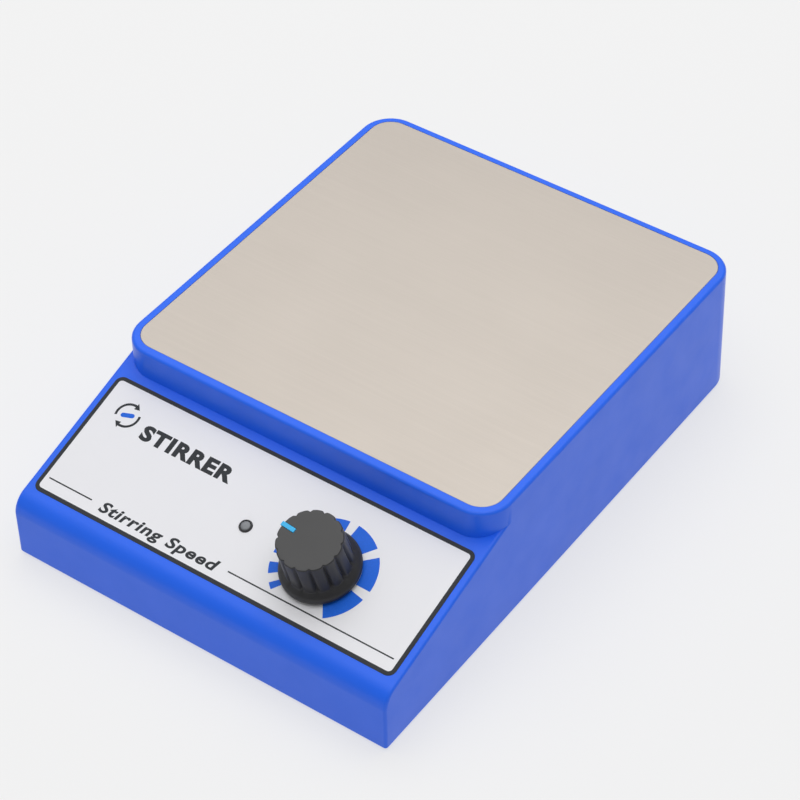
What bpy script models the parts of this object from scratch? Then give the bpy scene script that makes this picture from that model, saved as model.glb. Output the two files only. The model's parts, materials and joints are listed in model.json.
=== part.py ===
"""Magnetic stirrer: a wedge-fronted plastic housing with a steel plate let into its deck, a control panel
with one speed knob and an indicator lamp, and inside it a motor that spins two magnets under the plate.

The frame: +X to the user's right, -Y towards the user, +Z up. Z = 0 is the table under the rubber feet, and the
origin is the middle of the housing's footprint. Lengths below are in millimetres and are turned into metres
where the meshes are made.
"""

from math import atan, cos, pi, radians, sin, tan

import bmesh
import bpy
from mathutils import Matrix, Vector

MM = 0.001
GAP = 0.3  # air left between two pieces that rest on each other
CIRCLE = 32  # sides of a round piece
SMALL_CIRCLE = 12

# Housing
WIDTH = 128.8
DEPTH = 181.2
HOUSING_HEIGHT = 44.4
FOOT_DROP = 1.0  # the feet hold the housing this far above the table
WALL = 2.2
CORNER_RADIUS = 10.0
REAR_DRAFT = radians(2.5)
RIM_ROUNDING = 1.0
DECK_FRONT = -41.4
DECK_WALL = 1.8

# Sloping control panel
SLOPE = radians(16.9)
SLOPE_TOP = 34.75  # height of the slope where it meets the deck's front wall, above the housing's lower edge
FRONT_RADIUS = 6.4
SIDE_ROUNDING = 1.6
OVERLAY_HALF_WIDTH = 62.1
OVERLAY_NEAR = -45.0  # along the slope, from the foot of the deck's front wall
OVERLAY_FAR = -2.8
OVERLAY_CORNER = 2.4
OVERLAY_THICKNESS = 0.4
OVERLAY_RECESS = 0.4
OVERLAY_PROUD = 0.1

# Top plate
PLATE_HALF_WIDTH = 61.6
PLATE_FRONT = -38.5
PLATE_REAR = 86.1
PLATE_CORNER = 6.8
PLATE_THICKNESS = 0.8

# Speed knob and potentiometer, measured in the panel's own frame
KNOB_X = 26.7
KNOB_ALONG = -26.9
KNOB_BOTTOM = 0.8
KNOB_TOP = 15.9
KNOB_TOP_RADIUS = 9.15
KNOB_WAIST_RADIUS = 9.8
KNOB_WAIST = 4.4  # height where the flutes end on the skirt
KNOB_SKIRT_RADIUS = 11.7
KNOB_GROOVES = 14  # one of them holds the pointer
POINTER_ANGLE = radians(175)
POINTER_INNER = 5.3
POINTER_OUTER = 9.6
POINTER_WIDTH = 1.0
SHAFT_RADIUS = 3.0
BUSHING_RADIUS = 3.5
POT_RADIUS = 8.2

# Indicator lamp
LAMP_X = 0.2
LAMP_ALONG = -26.1
LAMP_RADIUS = 1.45
BEZEL_RADIUS = 2.15
BEZEL_BARREL_RADIUS = 1.9

# Base plate, feet and fasteners
BASE_BOTTOM = FOOT_DROP + 0.4
BASE_THICKNESS = 2.0
FOOT_RADIUS = 7.0
FOOT_RECESS = 1.0
FOOT_PLACES = {"left": -48.0, "right": 48.0}
FOOT_ROWS = {"front": -73.0, "rear": 73.0}
BASE_SCREW_X = 54.0
BASE_SCREW_ROWS = {"front": -82.0, "rear": 82.0}
BOSS_RADIUS = 3.6

# Motor and magnets
SPIN_Y = (PLATE_FRONT + PLATE_REAR) / 2
MOTOR_RADIUS = 12.2
MOTOR_BOTTOM = 8.0
MOTOR_TOP = 30.0
MOTOR_SHAFT_RADIUS = 1.0
BRACKET_THICKNESS = 1.2
BRACKET_HALF_SPAN = 24.0
BRACKET_FLANGE = 10.0
BRACKET_HALF_DEPTH = 11.0
BRACKET_BOSS_HEIGHT = 2.0
CARRIER_BOTTOM = 35.5
CARRIER_HEIGHT = 4.5
MAGNET_RADIUS = 5.0
MAGNET_OFFSET = 17.0
MAGNET_TOP = 41.0
MAGNET_HEIGHT = 4.0

# Circuit board
BOARD_LOW = (-30.0, -34.0, 7.0)
BOARD_HIGH = (30.0, -2.0, 8.6)
BOARD_SCREW_INSET = 4.0
CONNECTOR_HEIGHT = 7.0
WIRE_RADIUS = 0.7

# Power socket in the rear wall
JACK_X = 40.0
JACK_Z = 15.0
JACK_FLANGE_RADIUS = 6.0
JACK_BARREL_RADIUS = 4.0
JACK_BORE_RADIUS = 3.0
JACK_LENGTH = 14.0

HOUSING_TOP = FOOT_DROP + HOUSING_HEIGHT
RECESS_FLOOR = HOUSING_TOP - PLATE_THICKNESS - GAP
BASE_TOP = BASE_BOTTOM + BASE_THICKNESS


def slope_height(y):
    """Height of the panel's outer surface at y."""
    return FOOT_DROP + SLOPE_TOP + (y - DECK_FRONT) * tan(SLOPE)


def on_panel(x, along, above=0.0):
    """A point in the panel's frame, as a point of the part."""
    return Vector((
        x,
        DECK_FRONT + along * cos(SLOPE) - above * sin(SLOPE),
        FOOT_DROP + SLOPE_TOP + along * sin(SLOPE) + above * cos(SLOPE),
    ))


def clear_scene():
    for item in list(bpy.data.objects):
        bpy.data.objects.remove(item, do_unlink=True)


def new_collection(name):
    collection = bpy.data.collections.new(name)
    bpy.context.scene.collection.children.link(collection)
    return collection


clear_scene()
PARTS = new_collection("magnetic_stirrer")
CUTTERS = new_collection("cutters")


def material(name, colour, roughness, metallic=0.0):
    made = bpy.data.materials.new(name)
    made.use_nodes = True
    shader = made.node_tree.nodes["Principled BSDF"]
    shader.inputs["Base Color"].default_value = (*colour, 1.0)
    shader.inputs["Roughness"].default_value = roughness
    shader.inputs["Metallic"].default_value = metallic
    made.diffuse_color = (*colour, 1.0)
    return made


def place(name, mesh, finish=None, parent=None, location=(0, 0, 0), rotation=(0, 0, 0)):
    """Puts a mesh in the scene: a part when it has a finish, else a hidden cutter."""
    item = bpy.data.objects.new(name, mesh)
    (PARTS if finish else CUTTERS).objects.link(item)
    item.location = Vector(location) * MM
    item.rotation_euler = rotation
    item.parent = parent
    if finish:
        mesh.materials.append(finish)
    else:
        item.hide_render = True
        item.display_type = "WIRE"
    return item


def shade(mesh):
    mesh.shade_smooth()
    mesh.set_sharp_from_angle(angle=radians(35))


def mesh_from(bm, name):
    mesh = bpy.data.meshes.new(name)
    bm.normal_update()
    bm.to_mesh(mesh)
    bm.free()
    shade(mesh)
    return mesh


def box_bmesh(low, high):
    """A cube primitive stretched to run from low to high, in metres."""
    bm = bmesh.new()
    bmesh.ops.create_cube(bm, size=1.0)
    for vert in bm.verts:
        for axis in range(3):
            vert.co[axis] = (low[axis] if vert.co[axis] < 0 else high[axis]) * MM
    return bm


def upright(edge):
    return abs((edge.verts[0].co - edge.verts[1].co).normalized().z) > 0.9


def round_edges(bm, edges, width, segments):
    bmesh.ops.bevel(bm, geom=edges, offset=width * MM, segments=segments, profile=0.5, affect="EDGES")


def box(name, low, high, finish=None, parent=None, corner=0.0, segments=5, front_corner=None, **placing):
    """A box, with its upright edges rounded when a corner radius is given, the front two on their own."""
    bm = box_bmesh(low, high)
    if front_corner is not None:
        front = [edge for edge in bm.edges if upright(edge) and edge.verts[0].co.y < (low[1] + 0.01) * MM]
        round_edges(bm, front, front_corner, 2)
    if corner:
        middle = (low[1] + high[1]) / 2 * MM
        rest = [e for e in bm.edges if upright(e) and (front_corner is None or e.verts[0].co.y > middle)]
        round_edges(bm, rest, corner, segments)
    return place(name, mesh_from(bm, name), finish, parent, **placing)


def cylinder(name, radius, bottom, top, finish=None, parent=None, sides=SMALL_CIRCLE, at=(0, 0), **placing):
    """An upright cylinder between two heights, about the line through at."""
    bm = bmesh.new()
    bmesh.ops.create_cone(
        bm, cap_ends=True, segments=sides, radius1=radius * MM, radius2=radius * MM, depth=(top - bottom) * MM
    )
    bmesh.ops.translate(bm, verts=bm.verts, vec=Vector((at[0], at[1], (top + bottom) / 2)) * MM)
    return place(name, mesh_from(bm, name), finish, parent, **placing)


def turned(name, profile, finish=None, parent=None, closed=False, steps=CIRCLE, **placing):
    """A profile of (radius, height) points turned about Z; closed when it is a ring's own section."""
    mesh = bpy.data.meshes.new(name)
    edges = [(i, i + 1) for i in range(len(profile) - 1)]
    if closed:
        edges.append((len(profile) - 1, 0))
    mesh.from_pydata([(radius * MM, 0.0, height * MM) for radius, height in profile], edges, [])
    item = place(name, mesh, finish, parent, **placing)
    screw = item.modifiers.new("turn", "SCREW")
    screw.steps = steps
    screw.render_steps = steps
    screw.use_merge_vertices = True
    screw.merge_threshold = 0.00001
    return item


def boolean(target, other, operation="DIFFERENCE"):
    modifier = target.modifiers.new(other.name, "BOOLEAN")
    modifier.operation = operation
    modifier.object = other
    modifier.solver = "EXACT"


def smooth_route(points, steps):
    """Points along a Catmull-Rom curve through the given ones."""
    ends = [points[0] * 2 - points[1], *points, points[-1] * 2 - points[-2]]
    route = []
    for i in range(len(points) - 1):
        a, b, c, d = ends[i : i + 4]
        for k in range(steps):
            t = k / steps
            route.append(0.5 * (2 * b + (c - a) * t + (2 * a - 5 * b + 4 * c - d) * t**2
                                + (3 * b - a - 3 * c + d) * t**3))
    return [*route, points[-1]]


def wire(name, points, finish, steps=3):
    """A round insulated wire through the points."""
    curve = bpy.data.curves.new(name, "CURVE")
    curve.dimensions = "3D"
    curve.bevel_depth = WIRE_RADIUS * MM
    curve.bevel_resolution = 2
    curve.use_fill_caps = True
    route = smooth_route([Vector(point) for point in points], steps)
    spline = curve.splines.new("POLY")
    spline.points.add(len(route) - 1)
    for target, point in zip(spline.points, route):
        target.co = (*(point * MM), 1.0)
    item = bpy.data.objects.new(name, curve)
    PARTS.objects.link(item)
    curve.materials.append(finish)


BLUE_PLASTIC = material("blue_housing_plastic", (0.015, 0.09, 0.62), 0.38)
STEEL_PLATE = material("brushed_plate_steel", (0.62, 0.60, 0.57), 0.32, 1.0)
OVERLAY_FILM = material("white_overlay_film", (0.80, 0.80, 0.82), 0.45)
BLACK_PLASTIC = material("black_plastic", (0.02, 0.02, 0.022), 0.55)
KNOB_PLASTIC = material("knob_plastic", (0.045, 0.045, 0.048), 0.60)
POINTER_PLASTIC = material("pointer_plastic", (0.04, 0.50, 0.85), 0.40)
LENS = material("lamp_lens", (0.45, 0.47, 0.50), 0.20)
RUBBER = material("foot_rubber", (0.03, 0.03, 0.03), 0.85)
ZINC = material("zinc_plated_steel", (0.60, 0.60, 0.58), 0.35, 1.0)
MOTOR_STEEL = material("motor_steel", (0.50, 0.50, 0.50), 0.40, 1.0)
SHAFT_STEEL = material("polished_shaft_steel", (0.70, 0.70, 0.70), 0.20, 1.0)
NICKEL = material("magnet_nickel", (0.72, 0.71, 0.68), 0.18, 1.0)
CARRIER_PLASTIC = material("carrier_plastic", (0.75, 0.75, 0.72), 0.50)
BOARD_GREEN = material("board_laminate", (0.02, 0.20, 0.06), 0.45)
CAPACITOR_SLEEVE = material("capacitor_sleeve", (0.02, 0.03, 0.10), 0.40)
CONNECTOR_PLASTIC = material("connector_plastic", (0.82, 0.80, 0.74), 0.50)
RED_WIRE = material("red_wire", (0.55, 0.02, 0.02), 0.50)
BLACK_WIRE = material("black_wire", (0.02, 0.02, 0.02), 0.50)
YELLOW_WIRE = material("yellow_wire", (0.75, 0.55, 0.03), 0.50)


def deck_block(name, inset, bottom, top, corner, rounding=0.0):
    """The part of the housing under the plate, its rear face leaning in by the draft."""
    low = (-WIDTH / 2 + inset, DECK_FRONT + inset, bottom)
    high = (WIDTH / 2 - inset, DEPTH / 2 - inset, top)
    bm = box_bmesh(low, high)
    for vert in bm.verts:
        if vert.co.y > 0:
            vert.co.y -= (vert.co.z - FOOT_DROP * MM) * tan(REAR_DRAFT)
    round_edges(bm, [edge for edge in bm.edges if upright(edge)], corner, 6)
    if rounding:
        rim = [edge for edge in bm.edges if all(abs(v.co.z - top * MM) < 1e-7 for v in edge.verts)]
        round_edges(bm, rim, rounding, 2)
    return mesh_from(bm, name)


def wedge_block(name, inset, bottom, rear, front_radius, rounding=0.0):
    """The low front of the housing, its top following the slope down to a rounded nose."""
    front = -DEPTH / 2 + inset
    drop = inset / cos(SLOPE)
    bm = box_bmesh((-WIDTH / 2 + inset, front, bottom), (WIDTH / 2 - inset, rear, bottom + 1))
    for vert in bm.verts:
        if vert.co.z > (bottom + 0.5) * MM:
            vert.co.z = (slope_height(vert.co.y / MM) - drop) * MM
    nose = [
        edge
        for edge in bm.edges
        if all(v.co.y < (front + 0.1) * MM and v.co.z > (bottom + 1) * MM for v in edge.verts)
    ]
    round_edges(bm, nose, front_radius * tan((pi / 2 - SLOPE) / 2), 6)
    if rounding:
        half = (WIDTH / 2 - inset) * MM
        sides = [
            edge
            for edge in bm.edges
            if all(abs(abs(v.co.x) - half) < 1e-7 for v in edge.verts)
            and not all(v.co.z < (bottom + 0.1) * MM for v in edge.verts)
            and not all(v.co.y > (rear - 0.1) * MM for v in edge.verts)
            and edge.verts[0].co.x * edge.verts[1].co.x > 0
        ]
        round_edges(bm, sides, rounding, 3)
    return mesh_from(bm, name)


def rear_face(z):
    """y of the rear wall's outer face at height z."""
    return DEPTH / 2 - (z - FOOT_DROP) * tan(REAR_DRAFT)


def panel_frame(name, x, along):
    """An empty on the panel's outer surface, its Z along the panel's normal."""
    empty = bpy.data.objects.new(name, None)
    PARTS.objects.link(empty)
    empty.location = on_panel(x, along) * MM
    empty.rotation_euler = (SLOPE, 0, 0)
    return empty


PANEL = panel_frame("panel_frame", 0.0, 0.0)
KNOB_AXIS = panel_frame("knob_axis", KNOB_X, KNOB_ALONG)
LAMP_AXIS = panel_frame("lamp_axis", LAMP_X, LAMP_ALONG)


def base_screw_places():
    for row, y in BASE_SCREW_ROWS.items():
        for side, sign in (("left", -1), ("right", 1)):
            yield f"{row}_{side}", sign * BASE_SCREW_X, y


def housing():
    """Blue shell, open underneath, with a recess for the plate and one for the panel overlay."""
    shell = place(
        "housing", deck_block("housing", 0, FOOT_DROP, HOUSING_TOP, CORNER_RADIUS, RIM_ROUNDING), BLUE_PLASTIC
    )
    front = place("front_wedge", wedge_block(
        "front_wedge", 0, FOOT_DROP, DECK_FRONT + 12, FRONT_RADIUS, SIDE_ROUNDING))
    boolean(shell, front, "UNION")
    under = FOOT_DROP - 1
    rear_cavity = place(
        "rear_cavity", deck_block("rear_cavity", WALL, under, RECESS_FLOOR - DECK_WALL, CORNER_RADIUS - WALL)
    )
    front_cavity = place("front_cavity", wedge_block(
        "front_cavity", WALL, under - 0.5, DECK_FRONT + WALL + 6, FRONT_RADIUS - WALL))
    boolean(shell, rear_cavity)
    boolean(shell, front_cavity)
    plate_recess = box(
        "plate_recess",
        (-PLATE_HALF_WIDTH - GAP, PLATE_FRONT - GAP, RECESS_FLOOR),
        (PLATE_HALF_WIDTH + GAP, PLATE_REAR + GAP, HOUSING_TOP + 3),
        corner=PLATE_CORNER + GAP,
        segments=6,
    )
    boolean(shell, plate_recess)
    fit = 0.15
    overlay_recess = box(
        "overlay_recess",
        (-OVERLAY_HALF_WIDTH - fit, OVERLAY_NEAR - fit, -OVERLAY_RECESS),
        (OVERLAY_HALF_WIDTH + fit, OVERLAY_FAR + fit, 3),
        parent=PANEL,
        corner=OVERLAY_CORNER + fit,
        segments=4,
    )
    boolean(shell, overlay_recess)
    boolean(shell, cylinder("bushing_hole", BUSHING_RADIUS + 0.2, -6, 3, parent=KNOB_AXIS))
    boolean(shell, cylinder("lamp_hole", BEZEL_BARREL_RADIUS + 0.15, -6, 3, parent=LAMP_AXIS))
    facing_rear = (-pi / 2, 0, 0)
    jack_place = (JACK_X, rear_face(JACK_Z), JACK_Z)
    boolean(shell, cylinder(
        "jack_hole", JACK_BARREL_RADIUS + 0.25, -6, 3, location=jack_place, rotation=facing_rear, sides=24))
    boolean(shell, cylinder(
        "jack_flange_recess", JACK_FLANGE_RADIUS + 0.3, -1.2, 3, location=jack_place, rotation=facing_rear,
        sides=24))
    for label, x, y in base_screw_places():
        top = RECESS_FLOOR - DECK_WALL + 0.6 if y > DECK_FRONT else slope_height(y) - 1.2
        boss = cylinder(f"boss_{label}", BOSS_RADIUS, BASE_TOP + GAP, top, at=(x, y))
        boolean(shell, boss, "UNION")
        boolean(shell, cylinder(f"pilot_{label}", 1.45, BASE_TOP - 1, BASE_TOP + 9, at=(x, y)))


def top_plate():
    box(
        "top_plate",
        (-PLATE_HALF_WIDTH, PLATE_FRONT, HOUSING_TOP - PLATE_THICKNESS),
        (PLATE_HALF_WIDTH, PLATE_REAR, HOUSING_TOP),
        STEEL_PLATE,
        corner=PLATE_CORNER,
        segments=8,
    )


def panel_overlay():
    """Printed film that covers the panel, with holes for the bushing and the lamp's bezel."""
    bottom = OVERLAY_PROUD - OVERLAY_THICKNESS
    film = box(
        "panel_overlay",
        (-OVERLAY_HALF_WIDTH, OVERLAY_NEAR, bottom),
        (OVERLAY_HALF_WIDTH, OVERLAY_FAR, OVERLAY_PROUD),
        OVERLAY_FILM,
        parent=PANEL,
        corner=OVERLAY_CORNER,
        segments=4,
    )
    boolean(film, cylinder("overlay_bushing_hole", BUSHING_RADIUS + 0.3, -6, 3, parent=KNOB_AXIS))
    boolean(film, cylinder("overlay_lamp_hole", BEZEL_BARREL_RADIUS + 0.15, -6, 3, parent=LAMP_AXIS))


def pan_screw(name, place_at, head_radius, head_height, shank_radius, length, finish, pointing_up=False):
    """A pan-head screw with a cross recess; place_at is the middle of its head's bearing face."""
    profile = [
        (0, head_height), (head_radius * 0.6, head_height), (head_radius, head_height * 0.55),
        (head_radius, 0), (shank_radius, 0), (shank_radius, 1 - length), (0, -length),
    ]
    rotation = (pi, 0, 0) if pointing_up else (0, 0, 0)
    screw = turned(name, profile, finish, steps=SMALL_CIRCLE, location=place_at, rotation=rotation)
    reach, half = head_radius * 0.55, 0.35
    for label, x, y in (("a", reach, half), ("b", half, reach)):
        slot = box(f"{name}_slot_{label}", (-x, -y, head_height * 0.45), (x, y, head_height + 1),
                   location=place_at, rotation=rotation)
        boolean(screw, slot)


def base_plate():
    """Black cover that closes the housing, with pockets for the feet and stand-offs for what it carries."""
    reach_x = WIDTH / 2 - WALL - GAP
    reach_y = DEPTH / 2 - WALL - 2 * GAP
    cover = box("base_plate", (-reach_x, -reach_y, BASE_BOTTOM), (reach_x, reach_y, BASE_TOP), BLACK_PLASTIC,
                corner=CORNER_RADIUS - WALL - GAP, front_corner=1.0)
    for row, y in FOOT_ROWS.items():
        for side, x in FOOT_PLACES.items():
            pocket = cylinder(f"foot_pocket_{row}_{side}", FOOT_RADIUS + GAP, BASE_BOTTOM - 1,
                              BASE_BOTTOM + FOOT_RECESS, at=(x, y), sides=24)
            boolean(cover, pocket)
    for label, x, y in base_screw_places():
        boolean(cover, cylinder(f"base_hole_{label}", 1.7, BASE_BOTTOM - 1, BASE_TOP + 1, at=(x, y)))
        boolean(cover, cylinder(f"base_counterbore_{label}", 3.2, BASE_BOTTOM - 1, BASE_BOTTOM + 1.3, at=(x, y)))
    for label, x, y in board_screw_places():
        boolean(cover, cylinder(f"stand_off_{label}", 2.6, BASE_TOP - 0.5, BOARD_LOW[2] - GAP, at=(x, y)), "UNION")
        boolean(cover, cylinder(f"stand_off_bore_{label}", 1.25, BASE_TOP - 0.4, BOARD_LOW[2] + 1, at=(x, y)))
    for side, x in bracket_screw_places():
        top = BASE_TOP + BRACKET_BOSS_HEIGHT
        boolean(cover, cylinder(f"bracket_boss_{side}", 3.4, BASE_TOP - 0.5, top, at=(x, SPIN_Y)), "UNION")
        boolean(cover, cylinder(f"bracket_bore_{side}", 1.45, BASE_TOP - 1.4, top + 1, at=(x, SPIN_Y)))
    for label, x, y in base_screw_places():
        bearing = BASE_BOTTOM + 1.3 - 0.1
        pan_screw(f"base_screw_{label}", (x, y, bearing), 2.8, 1.1, 1.3, 9, ZINC, pointing_up=True)


def feet():
    top = BASE_BOTTOM + FOOT_RECESS - GAP
    profile = [(0, top), (FOOT_RADIUS, top), (FOOT_RADIUS, 0.6), (FOOT_RADIUS - 0.6, 0), (0, 0)]
    for row, y in FOOT_ROWS.items():
        for side, x in FOOT_PLACES.items():
            turned(f"foot_{row}_{side}", profile, RUBBER, location=(x, y, 0))


def speed_knob():
    """Fluted knob with a round skirt, hollow underneath over the potentiometer's nut."""
    cavity_radius, cavity_top = 7.2, 5.6
    bore, bore_top = SHAFT_RADIUS + 0.1, KNOB_TOP - 2.1
    profile = [
        (0, KNOB_TOP), (KNOB_TOP_RADIUS - 0.4, KNOB_TOP), (KNOB_TOP_RADIUS, KNOB_TOP - 0.4),
        (KNOB_WAIST_RADIUS, KNOB_WAIST), (KNOB_SKIRT_RADIUS - 0.5, KNOB_WAIST - 1.2),
        (KNOB_SKIRT_RADIUS, KNOB_WAIST - 2.0), (KNOB_SKIRT_RADIUS, KNOB_BOTTOM), (cavity_radius, KNOB_BOTTOM),
        (cavity_radius, cavity_top), (bore, cavity_top), (bore, bore_top), (0, bore_top),
    ]
    knob = turned("speed_knob", profile, KNOB_PLASTIC, parent=KNOB_AXIS, steps=42)
    bm = bmesh.new()
    length = 2 * (KNOB_TOP - KNOB_WAIST)
    lean = -atan((KNOB_WAIST_RADIUS - KNOB_TOP_RADIUS) / (KNOB_TOP - KNOB_WAIST))
    for i in range(KNOB_GROOVES):
        turn = Matrix.Rotation(POINTER_ANGLE + 2 * pi * i / KNOB_GROOVES, 4, "Z")
        out = Matrix.Translation(Vector((KNOB_TOP_RADIUS + 0.1, 0, KNOB_TOP)) * MM)
        tilt = Matrix.Rotation(lean, 4, "Y")
        shape = Matrix.Diagonal((1.0 * MM, 0.6 * MM, length * MM, 1))
        bmesh.ops.create_cube(bm, size=1.0, matrix=turn @ out @ tilt @ shape)
    grooves = place("knob_grooves", mesh_from(bm, "knob_grooves"), parent=KNOB_AXIS)
    boolean(knob, grooves)
    floor = KNOB_TOP - 0.6
    slot = box("pointer_slot", (POINTER_INNER - 0.1, -POINTER_WIDTH / 2 - 0.1, floor),
               (POINTER_OUTER + 3, POINTER_WIDTH / 2 + 0.1, KNOB_TOP + 1), parent=KNOB_AXIS,
               rotation=(0, 0, POINTER_ANGLE))
    boolean(knob, slot)
    box("knob_pointer", (POINTER_INNER, -POINTER_WIDTH / 2, floor + 0.1),
        (POINTER_OUTER, POINTER_WIDTH / 2, KNOB_TOP + 0.15), POINTER_PLASTIC, parent=KNOB_AXIS,
        rotation=(0, 0, POINTER_ANGLE))


def potentiometer():
    """Panel-mounted control: its can under the panel, its bushing through it, its shaft inside the knob."""
    top = -WALL - GAP
    bottom = top - 9.0
    bore = SHAFT_RADIUS + 0.15
    shaft_top = KNOB_TOP - 2.4
    turned(
        "potentiometer_body",
        [(bore, 5.0), (BUSHING_RADIUS, 5.0), (BUSHING_RADIUS, top), (POT_RADIUS, top), (POT_RADIUS, bottom),
         (0, bottom), (0, bottom + 1.5), (bore, bottom + 1.5)],
        MOTOR_STEEL, parent=KNOB_AXIS, closed=True,
    )
    turned(
        "potentiometer_shaft",
        [(0, shaft_top), (SHAFT_RADIUS - 0.4, shaft_top), (SHAFT_RADIUS, shaft_top - 0.4),
         (SHAFT_RADIUS, bottom + 1.8), (0, bottom + 1.8)],
        SHAFT_STEEL, parent=KNOB_AXIS,
    )
    washer_bottom = OVERLAY_PROUD + 0.2
    turned(
        "potentiometer_washer",
        [(BUSHING_RADIUS + 0.2, washer_bottom + 0.6), (6.0, washer_bottom + 0.6), (6.0, washer_bottom),
         (BUSHING_RADIUS + 0.2, washer_bottom)],
        ZINC, parent=KNOB_AXIS, closed=True, steps=24,
    )
    nut = cylinder("potentiometer_nut", 5.8, washer_bottom + 0.8, washer_bottom + 2.8, ZINC, parent=KNOB_AXIS,
                   sides=6)
    boolean(nut, cylinder("pot_nut_bore", BUSHING_RADIUS + 0.2, 0, 6, parent=KNOB_AXIS))


def indicator_lamp():
    low = OVERLAY_PROUD + 0.1
    turned(
        "led_bezel",
        [(LAMP_RADIUS + 0.15, low + 0.5), (BEZEL_RADIUS - 0.3, low + 0.5), (BEZEL_RADIUS, low),
         (BEZEL_BARREL_RADIUS, low), (BEZEL_BARREL_RADIUS, -5.0), (LAMP_RADIUS + 0.15, -5.0)],
        BLACK_PLASTIC, parent=LAMP_AXIS, closed=True, steps=24,
    )
    dome = [(LAMP_RADIUS * sin(radians(a)), low + 0.1 + LAMP_RADIUS * 0.4 * cos(radians(a))) for a in range(0, 91, 30)]
    turned("indicator_led", [*dome, (LAMP_RADIUS, -5.4), (0, -5.4)], LENS, parent=LAMP_AXIS, steps=24)


def motor_screw_places():
    return (("left", -8.0), ("right", 8.0))


def bracket_screw_places():
    x = BRACKET_HALF_SPAN + BRACKET_FLANGE / 2 + 0.6
    return (("left", -x), ("right", x))


def motor():
    """Can motor hung from a bent sheet bracket, its shaft upwards."""
    centre = (0, SPIN_Y, 0)
    boss_top = MOTOR_TOP + GAP + BRACKET_THICKNESS
    bore = MOTOR_SHAFT_RADIUS + 0.1
    can = turned(
        "motor_can",
        [(bore, boss_top), (3.0, boss_top), (3.0, MOTOR_TOP), (MOTOR_RADIUS - 0.8, MOTOR_TOP),
         (MOTOR_RADIUS, MOTOR_TOP - 0.8), (MOTOR_RADIUS, MOTOR_BOTTOM), (0, MOTOR_BOTTOM),
         (0, MOTOR_BOTTOM + 2), (bore, MOTOR_BOTTOM + 2)],
        MOTOR_STEEL, closed=True, location=centre,
    )
    for side, x in motor_screw_places():
        boolean(can, cylinder(f"motor_tap_{side}", 1.25, MOTOR_TOP - 4, MOTOR_TOP + 1, at=(x, SPIN_Y), sides=12))
    turned(
        "motor_end_cap",
        [(0, MOTOR_BOTTOM - GAP), (MOTOR_RADIUS - 0.6, MOTOR_BOTTOM - GAP), (MOTOR_RADIUS - 0.6, 5.4),
         (MOTOR_RADIUS - 1.4, 4.6), (0, 4.6)],
        BLACK_PLASTIC, location=centre,
    )
    turned(
        "motor_shaft",
        [(0, CARRIER_BOTTOM + 3.2), (MOTOR_SHAFT_RADIUS, CARRIER_BOTTOM + 3.2),
         (MOTOR_SHAFT_RADIUS, MOTOR_BOTTOM + 2.2), (0, MOTOR_BOTTOM + 2.2)],
        SHAFT_STEEL, steps=SMALL_CIRCLE, location=centre,
    )


def motor_bracket():
    """Sheet steel bent to a top hat: flanges on the base plate's bosses, the motor under its top."""
    top = MOTOR_TOP + GAP + BRACKET_THICKNESS
    low = BASE_TOP + BRACKET_BOSS_HEIGHT + GAP
    outer = BRACKET_HALF_SPAN
    inner = outer - BRACKET_THICKNESS
    foot = outer + BRACKET_FLANGE
    half = [(inner, top - BRACKET_THICKNESS), (inner, low), (foot, low), (foot, low + BRACKET_THICKNESS),
            (outer, low + BRACKET_THICKNESS), (outer, top)]
    section = half + [(-x, z) for x, z in reversed(half)]
    curve = bpy.data.curves.new("bracket_section", "CURVE")
    curve.dimensions = "2D"
    curve.fill_mode = "BOTH"
    curve.extrude = BRACKET_HALF_DEPTH * MM
    spline = curve.splines.new("POLY")
    spline.points.add(len(section) - 1)
    for point, (x, z) in zip(spline.points, section):
        point.co = (x * MM, z * MM, 0, 1)
    spline.use_cyclic_u = True
    guide = bpy.data.objects.new("bracket_guide", curve)
    PARTS.objects.link(guide)
    guide.location = Vector((0, SPIN_Y, 0)) * MM
    guide.rotation_euler = (pi / 2, 0, 0)
    bpy.context.view_layer.update()
    evaluated = guide.evaluated_get(bpy.context.evaluated_depsgraph_get())
    mesh = bpy.data.meshes.new_from_object(evaluated)
    mesh.name = "motor_bracket"
    bm = bmesh.new()
    bm.from_mesh(mesh)
    bmesh.ops.remove_doubles(bm, verts=bm.verts, dist=0.00001)
    bmesh.ops.recalc_face_normals(bm, faces=bm.faces)
    bm.to_mesh(mesh)
    bm.free()
    bracket = bpy.data.objects.new("motor_bracket", mesh)
    PARTS.objects.link(bracket)
    bracket.matrix_world = guide.matrix_world.copy()
    bpy.data.objects.remove(guide, do_unlink=True)
    mesh.materials.clear()
    mesh.materials.append(ZINC)
    boolean(bracket, cylinder("bracket_centre_hole", 3.3, top - 3, top + 2, at=(0, SPIN_Y), sides=24))
    for side, x in motor_screw_places():
        boolean(bracket, cylinder(f"bracket_top_hole_{side}", 1.5, top - 3, top + 2, at=(x, SPIN_Y)))
        pan_screw(f"motor_screw_{side}", (x, SPIN_Y, top + 0.1), 2.4, 1.3, 1.1, 4.5, ZINC)
    for side, x in bracket_screw_places():
        boolean(bracket, cylinder(f"bracket_foot_hole_{side}", 1.7, low - 2, low + 3, at=(x, SPIN_Y)))
        pan_screw(f"bracket_screw_{side}", (x, SPIN_Y, low + BRACKET_THICKNESS + 0.1), 2.8, 1.6, 1.3, 4.4, ZINC)


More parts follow.
